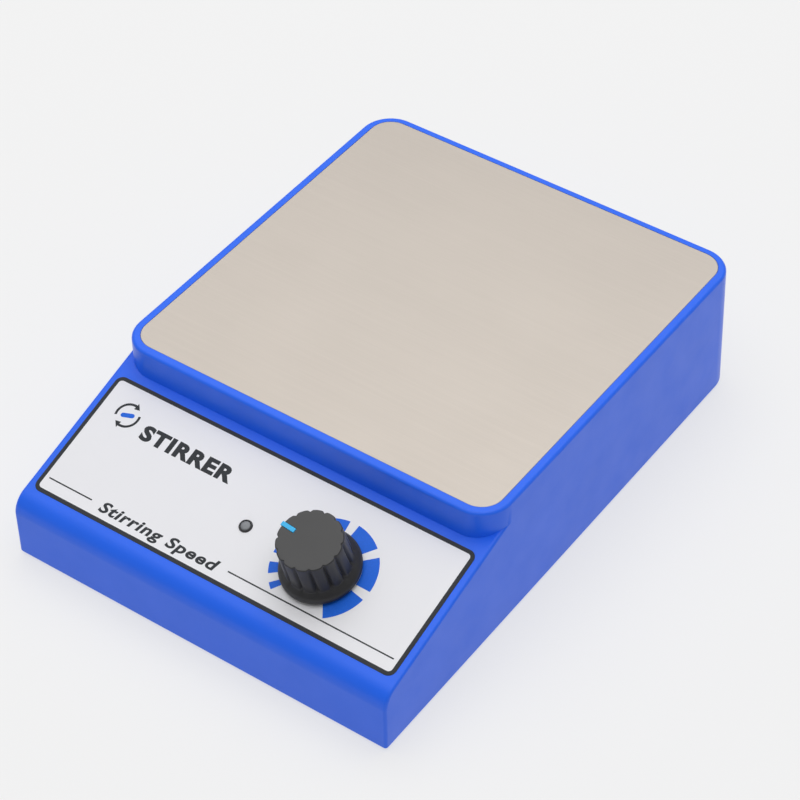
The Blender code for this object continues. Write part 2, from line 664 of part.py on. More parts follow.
def magnets():
    """Plastic bar on the motor's shaft, with a magnet pressed into a pocket at each end."""
    reach = MAGNET_OFFSET + MAGNET_RADIUS + 2.0
    half_width = MAGNET_RADIUS + 2.0
    top = CARRIER_BOTTOM + CARRIER_HEIGHT
    carrier = box("magnet_carrier", (-reach, -half_width, CARRIER_BOTTOM), (reach, half_width, top),
                  CARRIER_PLASTIC, corner=half_width - 0.01, segments=8, location=(0, SPIN_Y, 0))
    boolean(carrier, cylinder("carrier_bore", MOTOR_SHAFT_RADIUS + 0.1, CARRIER_BOTTOM - 2, CARRIER_BOTTOM + 3.4,
                              at=(0, SPIN_Y)))
    floor = MAGNET_TOP - MAGNET_HEIGHT - 0.2
    for number, x in ((1, -MAGNET_OFFSET), (2, MAGNET_OFFSET)):
        boolean(carrier, cylinder(f"magnet_pocket_{number}", MAGNET_RADIUS + 0.1, floor, top + 2,
                                  at=(x, SPIN_Y), sides=24))
        cylinder(f"magnet_{number}", MAGNET_RADIUS, floor + 0.2, MAGNET_TOP, NICKEL, sides=24,
                 location=(x, SPIN_Y, 0))


def board_screw_places():
    for row, y in (("front", BOARD_LOW[1] + BOARD_SCREW_INSET), ("rear", BOARD_HIGH[1] - BOARD_SCREW_INSET)):
        for side, x in (("left", BOARD_LOW[0] + BOARD_SCREW_INSET), ("right", BOARD_HIGH[0] - BOARD_SCREW_INSET)):
            yield f"{row}_{side}", x, y


CONNECTORS = {  # centre x, centre y, length along x
    "power_connector": (14.0, -8.0, 8.0),
    "motor_connector": (-4.0, -8.0, 8.0),
    "control_connector": (14.0, -28.5, 11.0),
    "lamp_connector": (-14.0, -28.5, 8.0),
}
CONNECTOR_TOP = BOARD_HIGH[2] + GAP + CONNECTOR_HEIGHT


def electronics():
    """Circuit board on the base plate's stand-offs, with the speed control's parts."""
    board = box("control_pcb", BOARD_LOW, BOARD_HIGH, BOARD_GREEN, corner=1.5, segments=2)
    for label, x, y in board_screw_places():
        boolean(board, cylinder(f"board_hole_{label}", 1.4, BOARD_LOW[2] - 1, BOARD_HIGH[2] + 1, at=(x, y)))
        pan_screw(f"pcb_screw_{label}", (x, y, BOARD_HIGH[2] + 0.1), 2.2, 1.4, 1.1, 4.6, ZINC)
    seat = BOARD_HIGH[2] + GAP
    turned(
        "filter_capacitor",
        [(0, seat + 11.5), (3.3, seat + 11.5), (4.0, seat + 10.8), (4.0, seat + 1.6), (3.6, seat + 1.1),
         (4.0, seat + 0.6), (4.0, seat), (0, seat)],
        CAPACITOR_SLEEVE, location=(25.0, -18.0, 0), steps=24,
    )
    box("motor_controller_chip", (-3.0, -21.5, seat), (3.0, -16.5, seat + 1.7), BLACK_PLASTIC)
    transistor = box("power_transistor", (-25.0, -20.0, seat), (-15.0, -15.5, seat + 9.2), BLACK_PLASTIC)
    tab = box("transistor_tab", (-25.0, -16.8, seat + 8.8), (-15.0, -15.5, seat + 15.4))
    boolean(transistor, tab, "UNION")
    tab_hole = cylinder("transistor_tab_hole", 1.8, -4, 4, location=(-20.0, -16.0, seat + 12.4),
                        rotation=(pi / 2, 0, 0))
    boolean(transistor, tab_hole)
    for name, (x, y, length) in CONNECTORS.items():
        box(name, (x - length / 2, y - 2.9, seat), (x + length / 2, y + 2.9, CONNECTOR_TOP), CONNECTOR_PLASTIC,
            corner=0.5, segments=1)


def power_socket():
    """Barrel socket sunk flush into the rear wall and held by a nut inside."""
    face = rear_face(JACK_Z)
    seat = 1.2 - 0.1
    bore_end = 10.5
    turned(
        "dc_jack",
        [(JACK_BORE_RADIUS, -0.3), (JACK_FLANGE_RADIUS, -0.3), (JACK_FLANGE_RADIUS, -seat),
         (JACK_BARREL_RADIUS, -seat), (JACK_BARREL_RADIUS, -JACK_LENGTH), (0, -JACK_LENGTH), (0, -bore_end),
         (JACK_BORE_RADIUS, -bore_end)],
        BLACK_PLASTIC, closed=True, location=(JACK_X, face, JACK_Z), rotation=(-pi / 2, 0, 0), steps=24,
    )
    turned("dc_jack_pin", [(0, -1.4), (0.7, -1.4), (1.05, -1.8), (1.05, -bore_end + 0.1), (0, -bore_end + 0.1)],
           SHAFT_STEEL, location=(JACK_X, face, JACK_Z), rotation=(-pi / 2, 0, 0), steps=SMALL_CIRCLE)
    inside = -WALL - GAP - 0.3
    nut = cylinder("dc_jack_nut", 6.2, inside - 2.2, inside, ZINC, sides=6, location=(JACK_X, face, JACK_Z),
                   rotation=(-pi / 2, 0, 0))
    boolean(nut, cylinder("jack_nut_bore", JACK_BARREL_RADIUS + 0.15, inside - 4, inside + 2,
                          location=(JACK_X, face, JACK_Z), rotation=(-pi / 2, 0, 0), sides=24))


def wiring():
    """Leads from the socket, the motor, the potentiometer and the lamp to the board's connectors."""
    start = CONNECTOR_TOP + GAP
    loop = start + 3.0
    x, y, _ = CONNECTORS["motor_connector"]
    end_cap_front = SPIN_Y - (MOTOR_RADIUS - 0.6) - GAP
    for name, offset, finish in (("motor_wire_red", -1.3, RED_WIRE), ("motor_wire_black", 1.3, BLACK_WIRE)):
        wire(name, [(x + offset, y, start), (x + offset, y + 0.5, loop), (x + offset + 1, y + 6, loop - 1),
                    (offset * 1.2, y + 13, 10.0), (offset, end_cap_front, 6.6)], finish)
    x, y, _ = CONNECTORS["power_connector"]
    jack_back = rear_face(JACK_Z) - JACK_LENGTH - GAP
    for name, offset, finish in (("power_wire_red", 1.3, RED_WIRE), ("power_wire_black", -1.3, BLACK_WIRE)):
        wire(name, [(x + offset, y, start), (x + offset, y + 0.5 - offset, loop), (30 + offset, 2 - offset, 15),
                    (JACK_X + offset, 18, 8), (JACK_X + offset, 45, 7), (JACK_X + offset, 66, 11),
                    (JACK_X + offset, jack_back, JACK_Z)], finish)
    x, y, _ = CONNECTORS["control_connector"]
    finishes = (("potentiometer_wire_red", -2.6, RED_WIRE), ("potentiometer_wire_yellow", 0.0, YELLOW_WIRE),
                ("potentiometer_wire_black", 2.6, BLACK_WIRE))
    for name, offset, finish in finishes:
        tag = on_panel(KNOB_X + offset, KNOB_ALONG + POT_RADIUS + GAP, -8.0)
        wire(name, [(x + offset, y, start), (x + offset, y - 0.5, loop), (x + offset + 5, y - 10, loop + 1),
                    (KNOB_X + offset, tag.y + 6, tag.z - 0.5), tag], finish)
    x, y, _ = CONNECTORS["lamp_connector"]
    for name, offset, finish in (("lamp_wire_red", -1.3, RED_WIRE), ("lamp_wire_black", 1.3, BLACK_WIRE)):
        tail = on_panel(LAMP_X + offset * 0.65, LAMP_ALONG, -5.4 - GAP)
        below = on_panel(LAMP_X + offset * 0.65, LAMP_ALONG, -9.5)
        wire(name, [(x + offset, y, start), (x + offset, y - 0.5, loop), (x + offset + 4, y - 12, loop - 1),
                    (LAMP_X + offset - 3, below.y + 8, below.z - 2), below, tail], finish)


def build():
    housing()
    top_plate()
    panel_overlay()
    base_plate()
    feet()
    speed_knob()
    potentiometer()
    indicator_lamp()
    motor()
    motor_bracket()
    magnets()
    electronics()
    power_socket()
    wiring()


build()
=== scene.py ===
"""Magnetic stirrer: the looks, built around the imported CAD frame.

The frame: +X to the user's right, -Y towards the user, +Z up, and Z = 0 is the table. Lengths below are in
millimetres and are turned into metres where the meshes are made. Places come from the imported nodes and
joints.
"""

import json
from math import asin, cos, exp, pi, radians, sin, tan

import bmesh
import bpy
from mathutils import Matrix, Vector


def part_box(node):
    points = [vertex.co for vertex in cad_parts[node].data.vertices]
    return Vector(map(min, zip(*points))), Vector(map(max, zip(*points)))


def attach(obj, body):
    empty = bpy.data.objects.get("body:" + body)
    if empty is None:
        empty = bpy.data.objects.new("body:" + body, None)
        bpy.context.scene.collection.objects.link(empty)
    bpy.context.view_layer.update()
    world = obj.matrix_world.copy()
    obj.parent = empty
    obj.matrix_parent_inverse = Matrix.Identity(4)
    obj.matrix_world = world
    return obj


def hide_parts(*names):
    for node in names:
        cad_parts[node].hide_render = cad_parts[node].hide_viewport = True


MM = 0.001

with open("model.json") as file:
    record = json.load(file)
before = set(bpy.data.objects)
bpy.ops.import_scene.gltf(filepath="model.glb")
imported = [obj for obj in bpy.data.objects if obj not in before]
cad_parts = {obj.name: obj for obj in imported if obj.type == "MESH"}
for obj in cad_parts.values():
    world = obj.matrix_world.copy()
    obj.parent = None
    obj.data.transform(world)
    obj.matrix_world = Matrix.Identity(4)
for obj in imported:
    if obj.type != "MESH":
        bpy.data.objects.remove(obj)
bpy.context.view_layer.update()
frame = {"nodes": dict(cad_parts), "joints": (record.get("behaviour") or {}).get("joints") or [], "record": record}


# ---------------------------------------------------------------- places taken from the frame


def box_mm(node):
    low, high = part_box(node)
    return low / MM, high / MM


def middle(node):
    low, high = box_mm(node)
    return (low + high) / 2


def joint(name):
    return next(j for j in frame["joints"] if j["name"] == name)


SHELL_LOW, SHELL_HIGH = box_mm("housing")
PLATE_LOW, PLATE_HIGH = box_mm("top_plate")
HALF_WIDTH = SHELL_HIGH.x
HALF_DEPTH = SHELL_HIGH.y
SHELL_BOTTOM, SHELL_TOP = SHELL_LOW.z, SHELL_HIGH.z

KNOB_AXIS = -Vector(joint("knob_turn")["axis"])
SLOPE = asin(-KNOB_AXIS.y)
KNOB_AT = Vector(joint("knob_turn")["pos_m"]) / MM
DECK_FRONT = -41.4  # y of the deck's front wall
KNOB_ALONG = (KNOB_AT.y - DECK_FRONT) / cos(SLOPE)
SLOPE_FOOT = KNOB_AT.z - KNOB_ALONG * sin(SLOPE)  # height of the slope at the deck's front wall
SPIN_AXIS = Vector(joint("rotor_spin")["pos_m"]) / MM

PANEL = Matrix.Translation((0, DECK_FRONT, SLOPE_FOOT)) @ Matrix.Rotation(SLOPE, 4, "X")
KNOB_PLACE = PANEL @ Matrix.Translation((KNOB_AT.x, KNOB_ALONG, 0))
LAMP_PLACE = PANEL @ Matrix.Translation((0.2, -26.1, 0))

# Sizes shared with the CAD source, and the finer roundings of the finished pieces
GAP = 0.3  # clearance between neighbouring pieces
WALL = 2.2
CORNER_RADIUS = 10.0
REAR_DRAFT = radians(2.5)
RIM_ROUNDING = 1.0
DECK_WALL = 1.8
NOSE_RADIUS = 6.4
SIDE_ROUNDING = 0.95
BOTTOM_CHAMFER = 0.35
PLATE_CORNER = 6.8
PLATE_SPREAD = 0.12  # the finished sheet reaches this much nearer to the rim than the CAD one
PLATE_FIT = 0.18  # clearance round the sheet in its recess
RECESS_FLOOR = PLATE_LOW.z - GAP
OVERLAY_HALF_WIDTH = 62.1
OVERLAY_NEAR, OVERLAY_FAR = -45.0, -2.8
OVERLAY_CORNER = 2.4
OVERLAY_TOP, OVERLAY_BOTTOM = 0.1, -0.3
OVERLAY_RECESS = 0.4
BUSHING_RADIUS = 3.5
BEZEL_BARREL_RADIUS = 1.9
SHALLOWEST, DEEPEST = 3, -6  # reach of a cutter that goes through the panel or the rear wall
JACK_BARREL_RADIUS = 4.0
JACK_BORE_RADIUS = 3.0
JACK_FLANGE_RADIUS = 6.0
JACK_RECESS = 1.2
BASE_LOW, BASE_HIGH = box_mm("base_plate")
BASE_BOTTOM = BASE_LOW.z
BASE_TOP = BASE_BOTTOM + 2.0
BASE_SCREWS = [(sx * 54.0, sy * 82.0) for sy in (-1, 1) for sx in (-1, 1)]
BOSS_RADIUS, PILOT_RADIUS = 3.6, 1.45
FEET = ("foot_front_left", "foot_front_right", "foot_rear_left", "foot_rear_right")


def slope_height(y):
    """Height of the panel's outer surface at y."""
    return SLOPE_FOOT + (y - DECK_FRONT) * tan(SLOPE)


# ---------------------------------------------------------------- mesh helpers


def link(obj):
    bpy.context.scene.collection.objects.link(obj)
    return obj


def mesh_object(name, bm, matrix=None):
    """An object from a bmesh in millimetres, put in place by matrix and then turned into metres."""
    if matrix is not None:
        bmesh.ops.transform(bm, matrix=matrix, verts=bm.verts)
    bmesh.ops.scale(bm, vec=(MM, MM, MM), verts=bm.verts)
    bm.normal_update()
    mesh = bpy.data.meshes.new(name)
    bm.to_mesh(mesh)
    bm.free()
    return link(bpy.data.objects.new(name, mesh))


def apply_all(obj):
    """Turns the object's modifiers into its mesh."""
    graph = bpy.context.evaluated_depsgraph_get()
    mesh = bpy.data.meshes.new_from_object(obj.evaluated_get(graph))
    mesh.name = obj.name
    obj.modifiers.clear()
    obj.data = mesh
    return obj


def boolean(target, other, operation="DIFFERENCE"):
    modifier = target.modifiers.new("cut", "BOOLEAN")
    modifier.operation = operation
    modifier.object = other
    modifier.solver = "EXACT"
    apply_all(target)
    bpy.data.objects.remove(other, do_unlink=True)


def smooth(obj, angle=32.0):
    """Smooth shading with sharp creases, the flat faces kept flat beside their fillets."""
    mesh = obj.data
    bm = bmesh.new()
    bm.from_mesh(mesh)
    bmesh.ops.remove_doubles(bm, verts=bm.verts, dist=1e-7)
    bmesh.ops.dissolve_degenerate(bm, edges=bm.edges, dist=1e-7)
    bm.to_mesh(mesh)
    bm.free()
    mesh.shade_smooth()
    mesh.set_sharp_from_angle(angle=radians(angle))
    weighted = obj.modifiers.new("weighted", "WEIGHTED_NORMAL")
    weighted.mode = "FACE_AREA"
    weighted.weight = 80
    weighted.keep_sharp = True
    return apply_all(obj)


def box_bmesh(low, high):
    bm = bmesh.new()
    bmesh.ops.create_cube(bm, size=1.0)
    for vert in bm.verts:
        for axis in range(3):
            vert.co[axis] = low[axis] if vert.co[axis] < 0 else high[axis]
    return bm


def bevel(bm, edges, width, segments):
    bmesh.ops.bevel(bm, geom=edges, offset=width, segments=segments, profile=0.5, affect="EDGES")


def is_upright(edge):
    return abs((edge.verts[0].co - edge.verts[1].co).normalized().z) > 0.9


def at_height(edge, z):
    return all(abs(vert.co.z - z) < 1e-4 for vert in edge.verts)


def block(name, low, high, corner=0.0, segments=8, top=0.0, bottom=0.0, edge_segments=2, matrix=None):
    """A box with rounded upright edges, and rounded top and bottom rims when a width is given."""
    bm = box_bmesh(low, high)
    if corner:
        bevel(bm, [e for e in bm.edges if is_upright(e)], corner, segments)
    if top:
        bevel(bm, [e for e in bm.edges if at_height(e, high[2])], top, edge_segments)
    if bottom:
        bevel(bm, [e for e in bm.edges if at_height(e, low[2])], bottom, edge_segments)
    return mesh_object(name, bm, matrix)


def cylinder(name, radius, bottom, top, at=(0, 0), sides=48, matrix=None):
    bm = bmesh.new()
    bmesh.ops.create_cone(
        bm, cap_ends=True, segments=sides, radius1=radius, radius2=radius, depth=top - bottom)
    bmesh.ops.translate(bm, verts=bm.verts, vec=(at[0], at[1], (top + bottom) / 2))
    return mesh_object(name, bm, matrix)


def round_profile(points, radius, steps=4, closed=False):
    """Rounds the corners of a (radius, height) profile; a third value is a point's own rounding."""
    result = []
    count = len(points)
    for i, point in enumerate(points):
        here = Vector(point[:2])
        size = point[2] if len(point) > 2 else radius
        if not closed and i in (0, count - 1) or size == 0:
            result.append(here)
            continue
        before = Vector(points[i - 1][:2]) - here
        after = Vector(points[(i + 1) % count][:2]) - here
        reach = min(size, before.length * 0.45, after.length * 0.45)
        a, b = here + before.normalized() * reach, here + after.normalized() * reach
        for k in range(steps + 1):
            t = k / steps
            result.append(a * (1 - t) ** 2 + here * 2 * t * (1 - t) + b * t**2)
    return result


def lathe(name, profile, steps=64, closed=False, radius_at=None, matrix=None):
    """Turns a (radius, height) profile about Z; radius_at(radius, height, angle) may move a point."""
    bm = bmesh.new()
    rows = []
    for point in profile:
        radius, height = point[0], point[1]
        if radius < 1e-6:
            rows.append([bm.verts.new((0, 0, height))])
            continue
        row = []
        for k in range(steps):
            angle = 2 * pi * k / steps
            r = radius_at(radius, height, angle) if radius_at else radius
            row.append(bm.verts.new((r * cos(angle), r * sin(angle), height)))
        rows.append(row)
    pairs = list(zip(rows, rows[1:]))
    if closed:
        pairs.append((rows[-1], rows[0]))
    for lower, upper in pairs:
        for k in range(steps):
            n = (k + 1) % steps
            near, far = len(lower), len(upper)
            corners = [lower[k % near], lower[n % near], upper[n % far], upper[k % far]]
            unique = list(dict.fromkeys(corners))
            if len(unique) > 2:
                bm.faces.new(unique)
    bmesh.ops.recalc_face_normals(bm, faces=bm.faces)
    return mesh_object(name, bm, matrix)


def rounded_outline(low_x, low_y, high_x, high_y, radius, steps=8):
    """Points round a rectangle with round corners, anticlockwise."""
    points = []
    for cx, cy, start in (
        (high_x - radius, high_y - radius, 0),
        (low_x + radius, high_y - radius, 90),
        (low_x + radius, low_y + radius, 180),
        (high_x - radius, low_y + radius, 270),
    ):
        for k in range(steps + 1):
            angle = radians(start + 90 * k / steps)
            points.append((cx + radius * cos(angle), cy + radius * sin(angle)))
    return points


def arc(radius, start, end, steps, centre=(0, 0)):
    """Points along a circle, both ends included."""
    return [
        (centre[0] + radius * cos(start + (end - start) * k / steps),
         centre[1] + radius * sin(start + (end - start) * k / steps))
        for k in range(steps + 1)
    ]


def add_prism(bm, outline, bottom, top):
    """A solid with the outline as its plan."""
    lower = [bm.verts.new((x, y, bottom)) for x, y in outline]
    upper = [bm.verts.new((x, y, top)) for x, y in outline]
    bm.faces.new(lower)
    bm.faces.new(upper)
    for k in range(len(outline)):
        n = (k + 1) % len(outline)
        bm.faces.new((lower[k], lower[n], upper[n], upper[k]))


def add_ring(bm, outer, inner, bottom, top):
    """A solid between two outlines that have the same number of points."""
    low_out, high_out, low_in, high_in = [
        [bm.verts.new((x, y, z)) for x, y in outline] for outline in (outer, inner) for z in (bottom, top)]
    for k in range(len(outer)):
        n = (k + 1) % len(outer)
        for a, b in ((low_out, high_out), (high_out, high_in), (high_in, low_in), (low_in, low_out)):
            bm.faces.new((a[k], a[n], b[n], b[k]))


def stroke(points, width):
    """The outline of a line of that width through the points, its corners mitred."""
    left, right = [], []
    for i, point in enumerate(points):
        here = Vector(point)
        ahead = Vector(points[min(i + 1, len(points) - 1)]) - here
        behind = here - Vector(points[max(i - 1, 0)])
        ahead = ahead.normalized() if ahead.length else behind.normalized()
        behind = behind.normalized() if behind.length else ahead
        normal_a, normal_b = Vector((-ahead.y, ahead.x)), Vector((-behind.y, behind.x))
        mitre = (normal_a + normal_b).normalized()
        reach = width / 2 / max(0.4, mitre.dot(normal_a))
        left.append(tuple(here + mitre * reach))
        right.append(tuple(here - mitre * reach))
    return left + right[::-1]


# ---------------------------------------------------------------- materials


def map_range(nodes, links, value, from_low, from_high, low, high):
    """value moved from one range to another, and held inside it."""
    node = nodes.new("ShaderNodeMapRange")
    limits = {"From Min": from_low, "From Max": from_high, "To Min": low, "To Max": high}
    for socket, number in limits.items():
        node.inputs[socket].default_value = number
    links.new(value, node.inputs["Value"])
    return node.outputs["Result"]


class Finish:
    """A Principled material and short ways to wire the nodes that vary it over the surface."""

    def __init__(self, slot, colour, roughness, metallic=0.0, **sockets):
        self.slot = slot
        self.material = bpy.data.materials.new(f"{slot}_look")
        self.material.use_nodes = True
        self.nodes = self.material.node_tree.nodes
        self.links = self.material.node_tree.links
        self.shader = self.nodes["Principled BSDF"]
        self.shader.inputs["Base Color"].default_value = (*colour, 1.0)
        self.shader.inputs["Roughness"].default_value = roughness
        self.shader.inputs["Metallic"].default_value = metallic
        for socket, value in sockets.items():
            self.shader.inputs[socket.replace("_", " ")].default_value = value
        self.material.diffuse_color = (*colour, 1.0)
        self.place = self.add("ShaderNodeTexCoord").outputs["Object"]

    def add(self, kind, **settings):
        node = self.nodes.new(kind)
        for key, value in settings.items():
            setattr(node, key, value)
        return node

    def stretched(self, scale):
        """The place on the object, in millimetres times scale."""
        mapping = self.add("ShaderNodeMapping")
        mapping.inputs["Scale"].default_value = tuple(s / MM for s in scale)
        self.links.new(self.place, mapping.inputs["Vector"])
        return mapping.outputs["Vector"]

    def noise(self, size, detail=2.0, scale=(1, 1, 1), rough=0.5):
        """Soft noise whose features are about size millimetres across."""
        node = self.add("ShaderNodeTexNoise")
        node.inputs["Scale"].default_value = 1.0 / size
        node.inputs["Detail"].default_value = detail
        node.inputs["Roughness"].default_value = rough
        self.links.new(self.stretched(scale), node.inputs["Vector"])
        return node.outputs["Fac"]

    def cells(self, size):
        """Distance to the middle of cells about size millimetres across."""
        node = self.add("ShaderNodeTexVoronoi")
        node.inputs["Scale"].default_value = 1.0 / size
        self.links.new(self.stretched((1, 1, 1)), node.inputs["Vector"])
        return node.outputs["Distance"]

    def facing(self, direction):
        """How squarely the surface faces a fixed direction, 1 when it faces it."""
        node = self.add("ShaderNodeVectorMath", operation="DOT_PRODUCT")
        node.inputs[1].default_value = direction
        self.links.new(self.add("ShaderNodeNewGeometry").outputs["Normal"], node.inputs[0])
        return node.outputs["Value"]

    def span(self, value, low, high, from_low=0.3, from_high=0.7):
        """value moved from its own range to low..high."""
        return map_range(self.nodes, self.links, value, from_low, from_high, low, high)

    def math(self, operation, a, b):
        node = self.add("ShaderNodeMath", operation=operation)
        for socket, value in zip(node.inputs, (a, b)):
            if isinstance(value, (int, float)):
                socket.default_value = value
            else:
                self.links.new(value, socket)
        return node.outputs["Value"]

    def vary_colour(self, value, other, from_low=0.3, from_high=0.7, strength=1.0):
        """Mixes the base colour towards other where value is high."""
        mix = self.add("ShaderNodeMix", data_type="RGBA")
        base = self.shader.inputs["Base Color"]
        if base.is_linked:
            self.links.new(base.links[0].from_socket, mix.inputs[6])
        else:
            mix.inputs[6].default_value = base.default_value
        mix.inputs[7].default_value = (*other, 1.0)
        self.links.new(self.span(value, 0.0, strength, from_low, from_high), mix.inputs[0])
        self.links.new(mix.outputs[2], base)

    def vary_roughness(self, value, low, high):
        """Sets the roughness between low and high, or adds that to what varies it already."""
        target = self.shader.inputs["Roughness"]
        new = self.span(value, low, high)
        if target.is_linked:
            new = self.math("ADD", target.links[0].from_socket, new)
        self.links.new(new, target)

    def relief(self, value, depth, strength=1.0):
        """Adds a bump whose height changes by depth millimetres as value goes from 0 to 1."""
        bump = self.add("ShaderNodeBump")
        bump.inputs["Distance"].default_value = depth * MM
        bump.inputs["Strength"].default_value = strength
        self.links.new(value, bump.inputs["Height"])
        target = self.shader.inputs["Normal"]
        if target.is_linked:
            self.links.new(target.links[0].from_socket, bump.inputs["Normal"])
        self.links.new(bump.outputs["Normal"], target)


def mixed(colour, factor):
    """The colour made lighter or darker."""
    return tuple(min(1.0, c * factor) for c in colour)


def moulded(name, colour, roughness, grain=0.35, depth=0.012, dust=None, **sockets):
    """Injection-moulded plastic: eroded grain, slow gloss changes and slight shade changes."""
    spread = 0.05
    made = Finish(name, colour, roughness, **sockets)
    made.vary_colour(made.noise(18.0, 3.0), mixed(colour, 0.93), strength=0.6)
    made.vary_roughness(made.noise(9.0, 4.0), roughness - spread, roughness + spread)
    made.relief(made.noise(grain, 3.0, rough=0.6), depth, 0.6)
    made.relief(made.noise(26.0, 1.0), 0.05, 0.25)
    if dust:
        made.vary_colour(made.noise(0.5, 4.0), dust, 0.62, 0.74, 0.25)
    return made


def metal(name, colour, roughness, grain_scale=(1, 1, 1)):
    """Bare or plated metal: drawn or rolled grain, and patches of slightly duller skin."""
    spread = 0.06
    made = Finish(name, colour, roughness, 1.0)
    made.vary_colour(made.noise(3.5, 4.0), mixed(colour, 0.86), strength=0.5)
    made.vary_roughness(made.noise(2.2, 4.0), roughness - spread, roughness + spread)
    made.relief(made.noise(0.4, 4.0, grain_scale), 0.004, 0.5)
    return made


BLUE = moulded(
    "blue_housing_plastic", (0.015, 0.138, 0.90), 0.34, grain=0.30, depth=0.010, Specular_IOR_Level=0.38)
BLACK = moulded("black_plastic", (0.036, 0.036, 0.039), 0.50, grain=0.45, depth=0.02)
KNOB_BLACK = moulded(
    "knob_plastic", (0.017, 0.017, 0.019), 0.45, grain=0.22, depth=0.009, Specular_IOR_Level=0.52)
# Painted highlight: faces that look along the knob's axis (its top and the skirt's upper face) are painted a
# lighter grey than the flutes, for the light that falls on them from above.
KNOB_BLACK.vary_colour(KNOB_BLACK.facing(KNOB_AXIS), (0.058, 0.058, 0.059), 0.90, 0.985)
POINTER_BLUE = moulded("pointer_plastic", (0.03, 0.46, 0.86), 0.35, grain=0.3, depth=0.004)
CARRIER = moulded("carrier_plastic", (0.75, 0.75, 0.72), 0.50)
CONNECTOR = moulded("connector_plastic", (0.82, 0.80, 0.74), 0.45)
SLEEVE = moulded("capacitor_sleeve", (0.02, 0.03, 0.10), 0.32, depth=0.004)
RED_WIRE = moulded("red_wire", (0.50, 0.015, 0.015), 0.45, depth=0.004)
BLACK_WIRE = moulded("black_wire", (0.02, 0.02, 0.02), 0.45, depth=0.004)
YELLOW_WIRE = moulded("yellow_wire", (0.72, 0.50, 0.03), 0.45, depth=0.004)

RUBBER = moulded("foot_rubber", (0.022, 0.022, 0.022), 0.80, grain=0.6, depth=0.03, dust=(0.20, 0.20, 0.19))
ZINC = metal("zinc_plated_steel", (0.60, 0.60, 0.57), 0.34)
MOTOR_STEEL = metal("motor_steel", (0.50, 0.50, 0.49), 0.38, (1, 1, 0.15))
SHAFT_STEEL = metal("polished_shaft_steel", (0.70, 0.70, 0.69), 0.18, (1, 1, 6))
NICKEL = metal("magnet_nickel", (0.72, 0.70, 0.65), 0.16)


def plate_finish():
    """Satin stainless sheet: fine brushing along X, with a few deeper hairlines and a faint handling haze."""
    base = (0.626, 0.569, 0.512)
    made = Finish("brushed_plate_steel", base, 0.38, 1.0)
    brush = made.noise(0.16, 3.0, (0.008, 1, 1), 0.6)
    streaks = made.noise(1.3, 3.0, (0.004, 1, 1), 0.55)
    made.vary_colour(brush, mixed(base, 0.93), 0.35, 0.70, 0.7)
    made.vary_colour(streaks, mixed(base, 0.965), 0.40, 0.65, 0.8)
    made.vary_colour(made.noise(34.0, 3.0), mixed(base, 1.02), strength=0.5)
    made.vary_roughness(brush, 0.36, 0.41)
    made.vary_roughness(streaks, -0.008, 0.008)
    made.vary_roughness(made.noise(22.0, 4.0), -0.006, 0.006)
    made.relief(brush, 0.0006, 0.5)
    made.relief(streaks, 0.0012, 0.4)
    return made


def film_finish():
    """Matt polycarbonate film with a velvet texture."""
    made = Finish("white_overlay_film", (0.815, 0.815, 0.845), 0.48)
    made.vary_colour(made.noise(24.0, 2.0), (0.80, 0.80, 0.83), strength=0.5)
    made.vary_roughness(made.noise(5.0, 3.0), 0.44, 0.54)
    made.relief(made.noise(0.18, 2.0), 0.004, 0.5)
    return made


def ink_finish(name, colour):
    """Screen-printed ink: a slight mesh pattern and thin spots."""
    made = Finish(name, colour, 0.5, Specular_IOR_Level=0.28)
    made.vary_colour(made.noise(0.5, 3.0), mixed(colour, 1.25), 0.45, 0.8, 0.5)
    made.vary_roughness(made.noise(3.0, 3.0), 0.42, 0.58)
    made.relief(made.noise(0.15, 2.0), 0.002, 0.5)
    return made


def lens_finish():
    """Diffused epoxy of a small lamp, unlit."""
    made = Finish("lamp_lens", (0.19, 0.20, 0.215), 0.34, Coat_Weight=0.15, Coat_Roughness=0.15)
    made.vary_colour(made.noise(0.9, 2.0), (0.26, 0.27, 0.285), strength=0.7)
    made.vary_roughness(made.noise(0.8, 2.0), 0.28, 0.40)
    made.relief(made.noise(0.3, 2.0), 0.004, 0.3)
    return made


def board_finish(colour):
    """Green solder mask over woven laminate, or over copper where the colour is lighter."""
    made = Finish("board_laminate", colour, 0.32)
    weave = made.cells(0.7)
    made.vary_colour(weave, mixed(colour, 1.35), 0.1, 0.7, 0.5)
    made.vary_colour(made.noise(4.0, 3.0), mixed(colour, 0.8), strength=0.5)
    made.vary_roughness(made.noise(2.0, 3.0), 0.26, 0.40)
    made.relief(weave, 0.01, 0.4)
    return made


PLATE_STEEL = plate_finish()
FILM = film_finish()
DARK_INK = ink_finish("dark_overlay_ink", (0.026, 0.029, 0.034))
BLUE_INK = ink_finish("blue_overlay_ink", (0.008, 0.125, 0.68))
LENS = lens_finish()
BOARD = board_finish((0.015, 0.16, 0.05))
TRACE = board_finish((0.035, 0.26, 0.09))


def piece(obj, finish, body, *nodes):
    """Gives a finished mesh its material and its body, and hides the CAD nodes that it stands for."""
    obj.data.materials.clear()
    obj.data.materials.append(finish.material)
    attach(obj, body)
    if nodes:
        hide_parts(*nodes)


# ---------------------------------------------------------------- housing


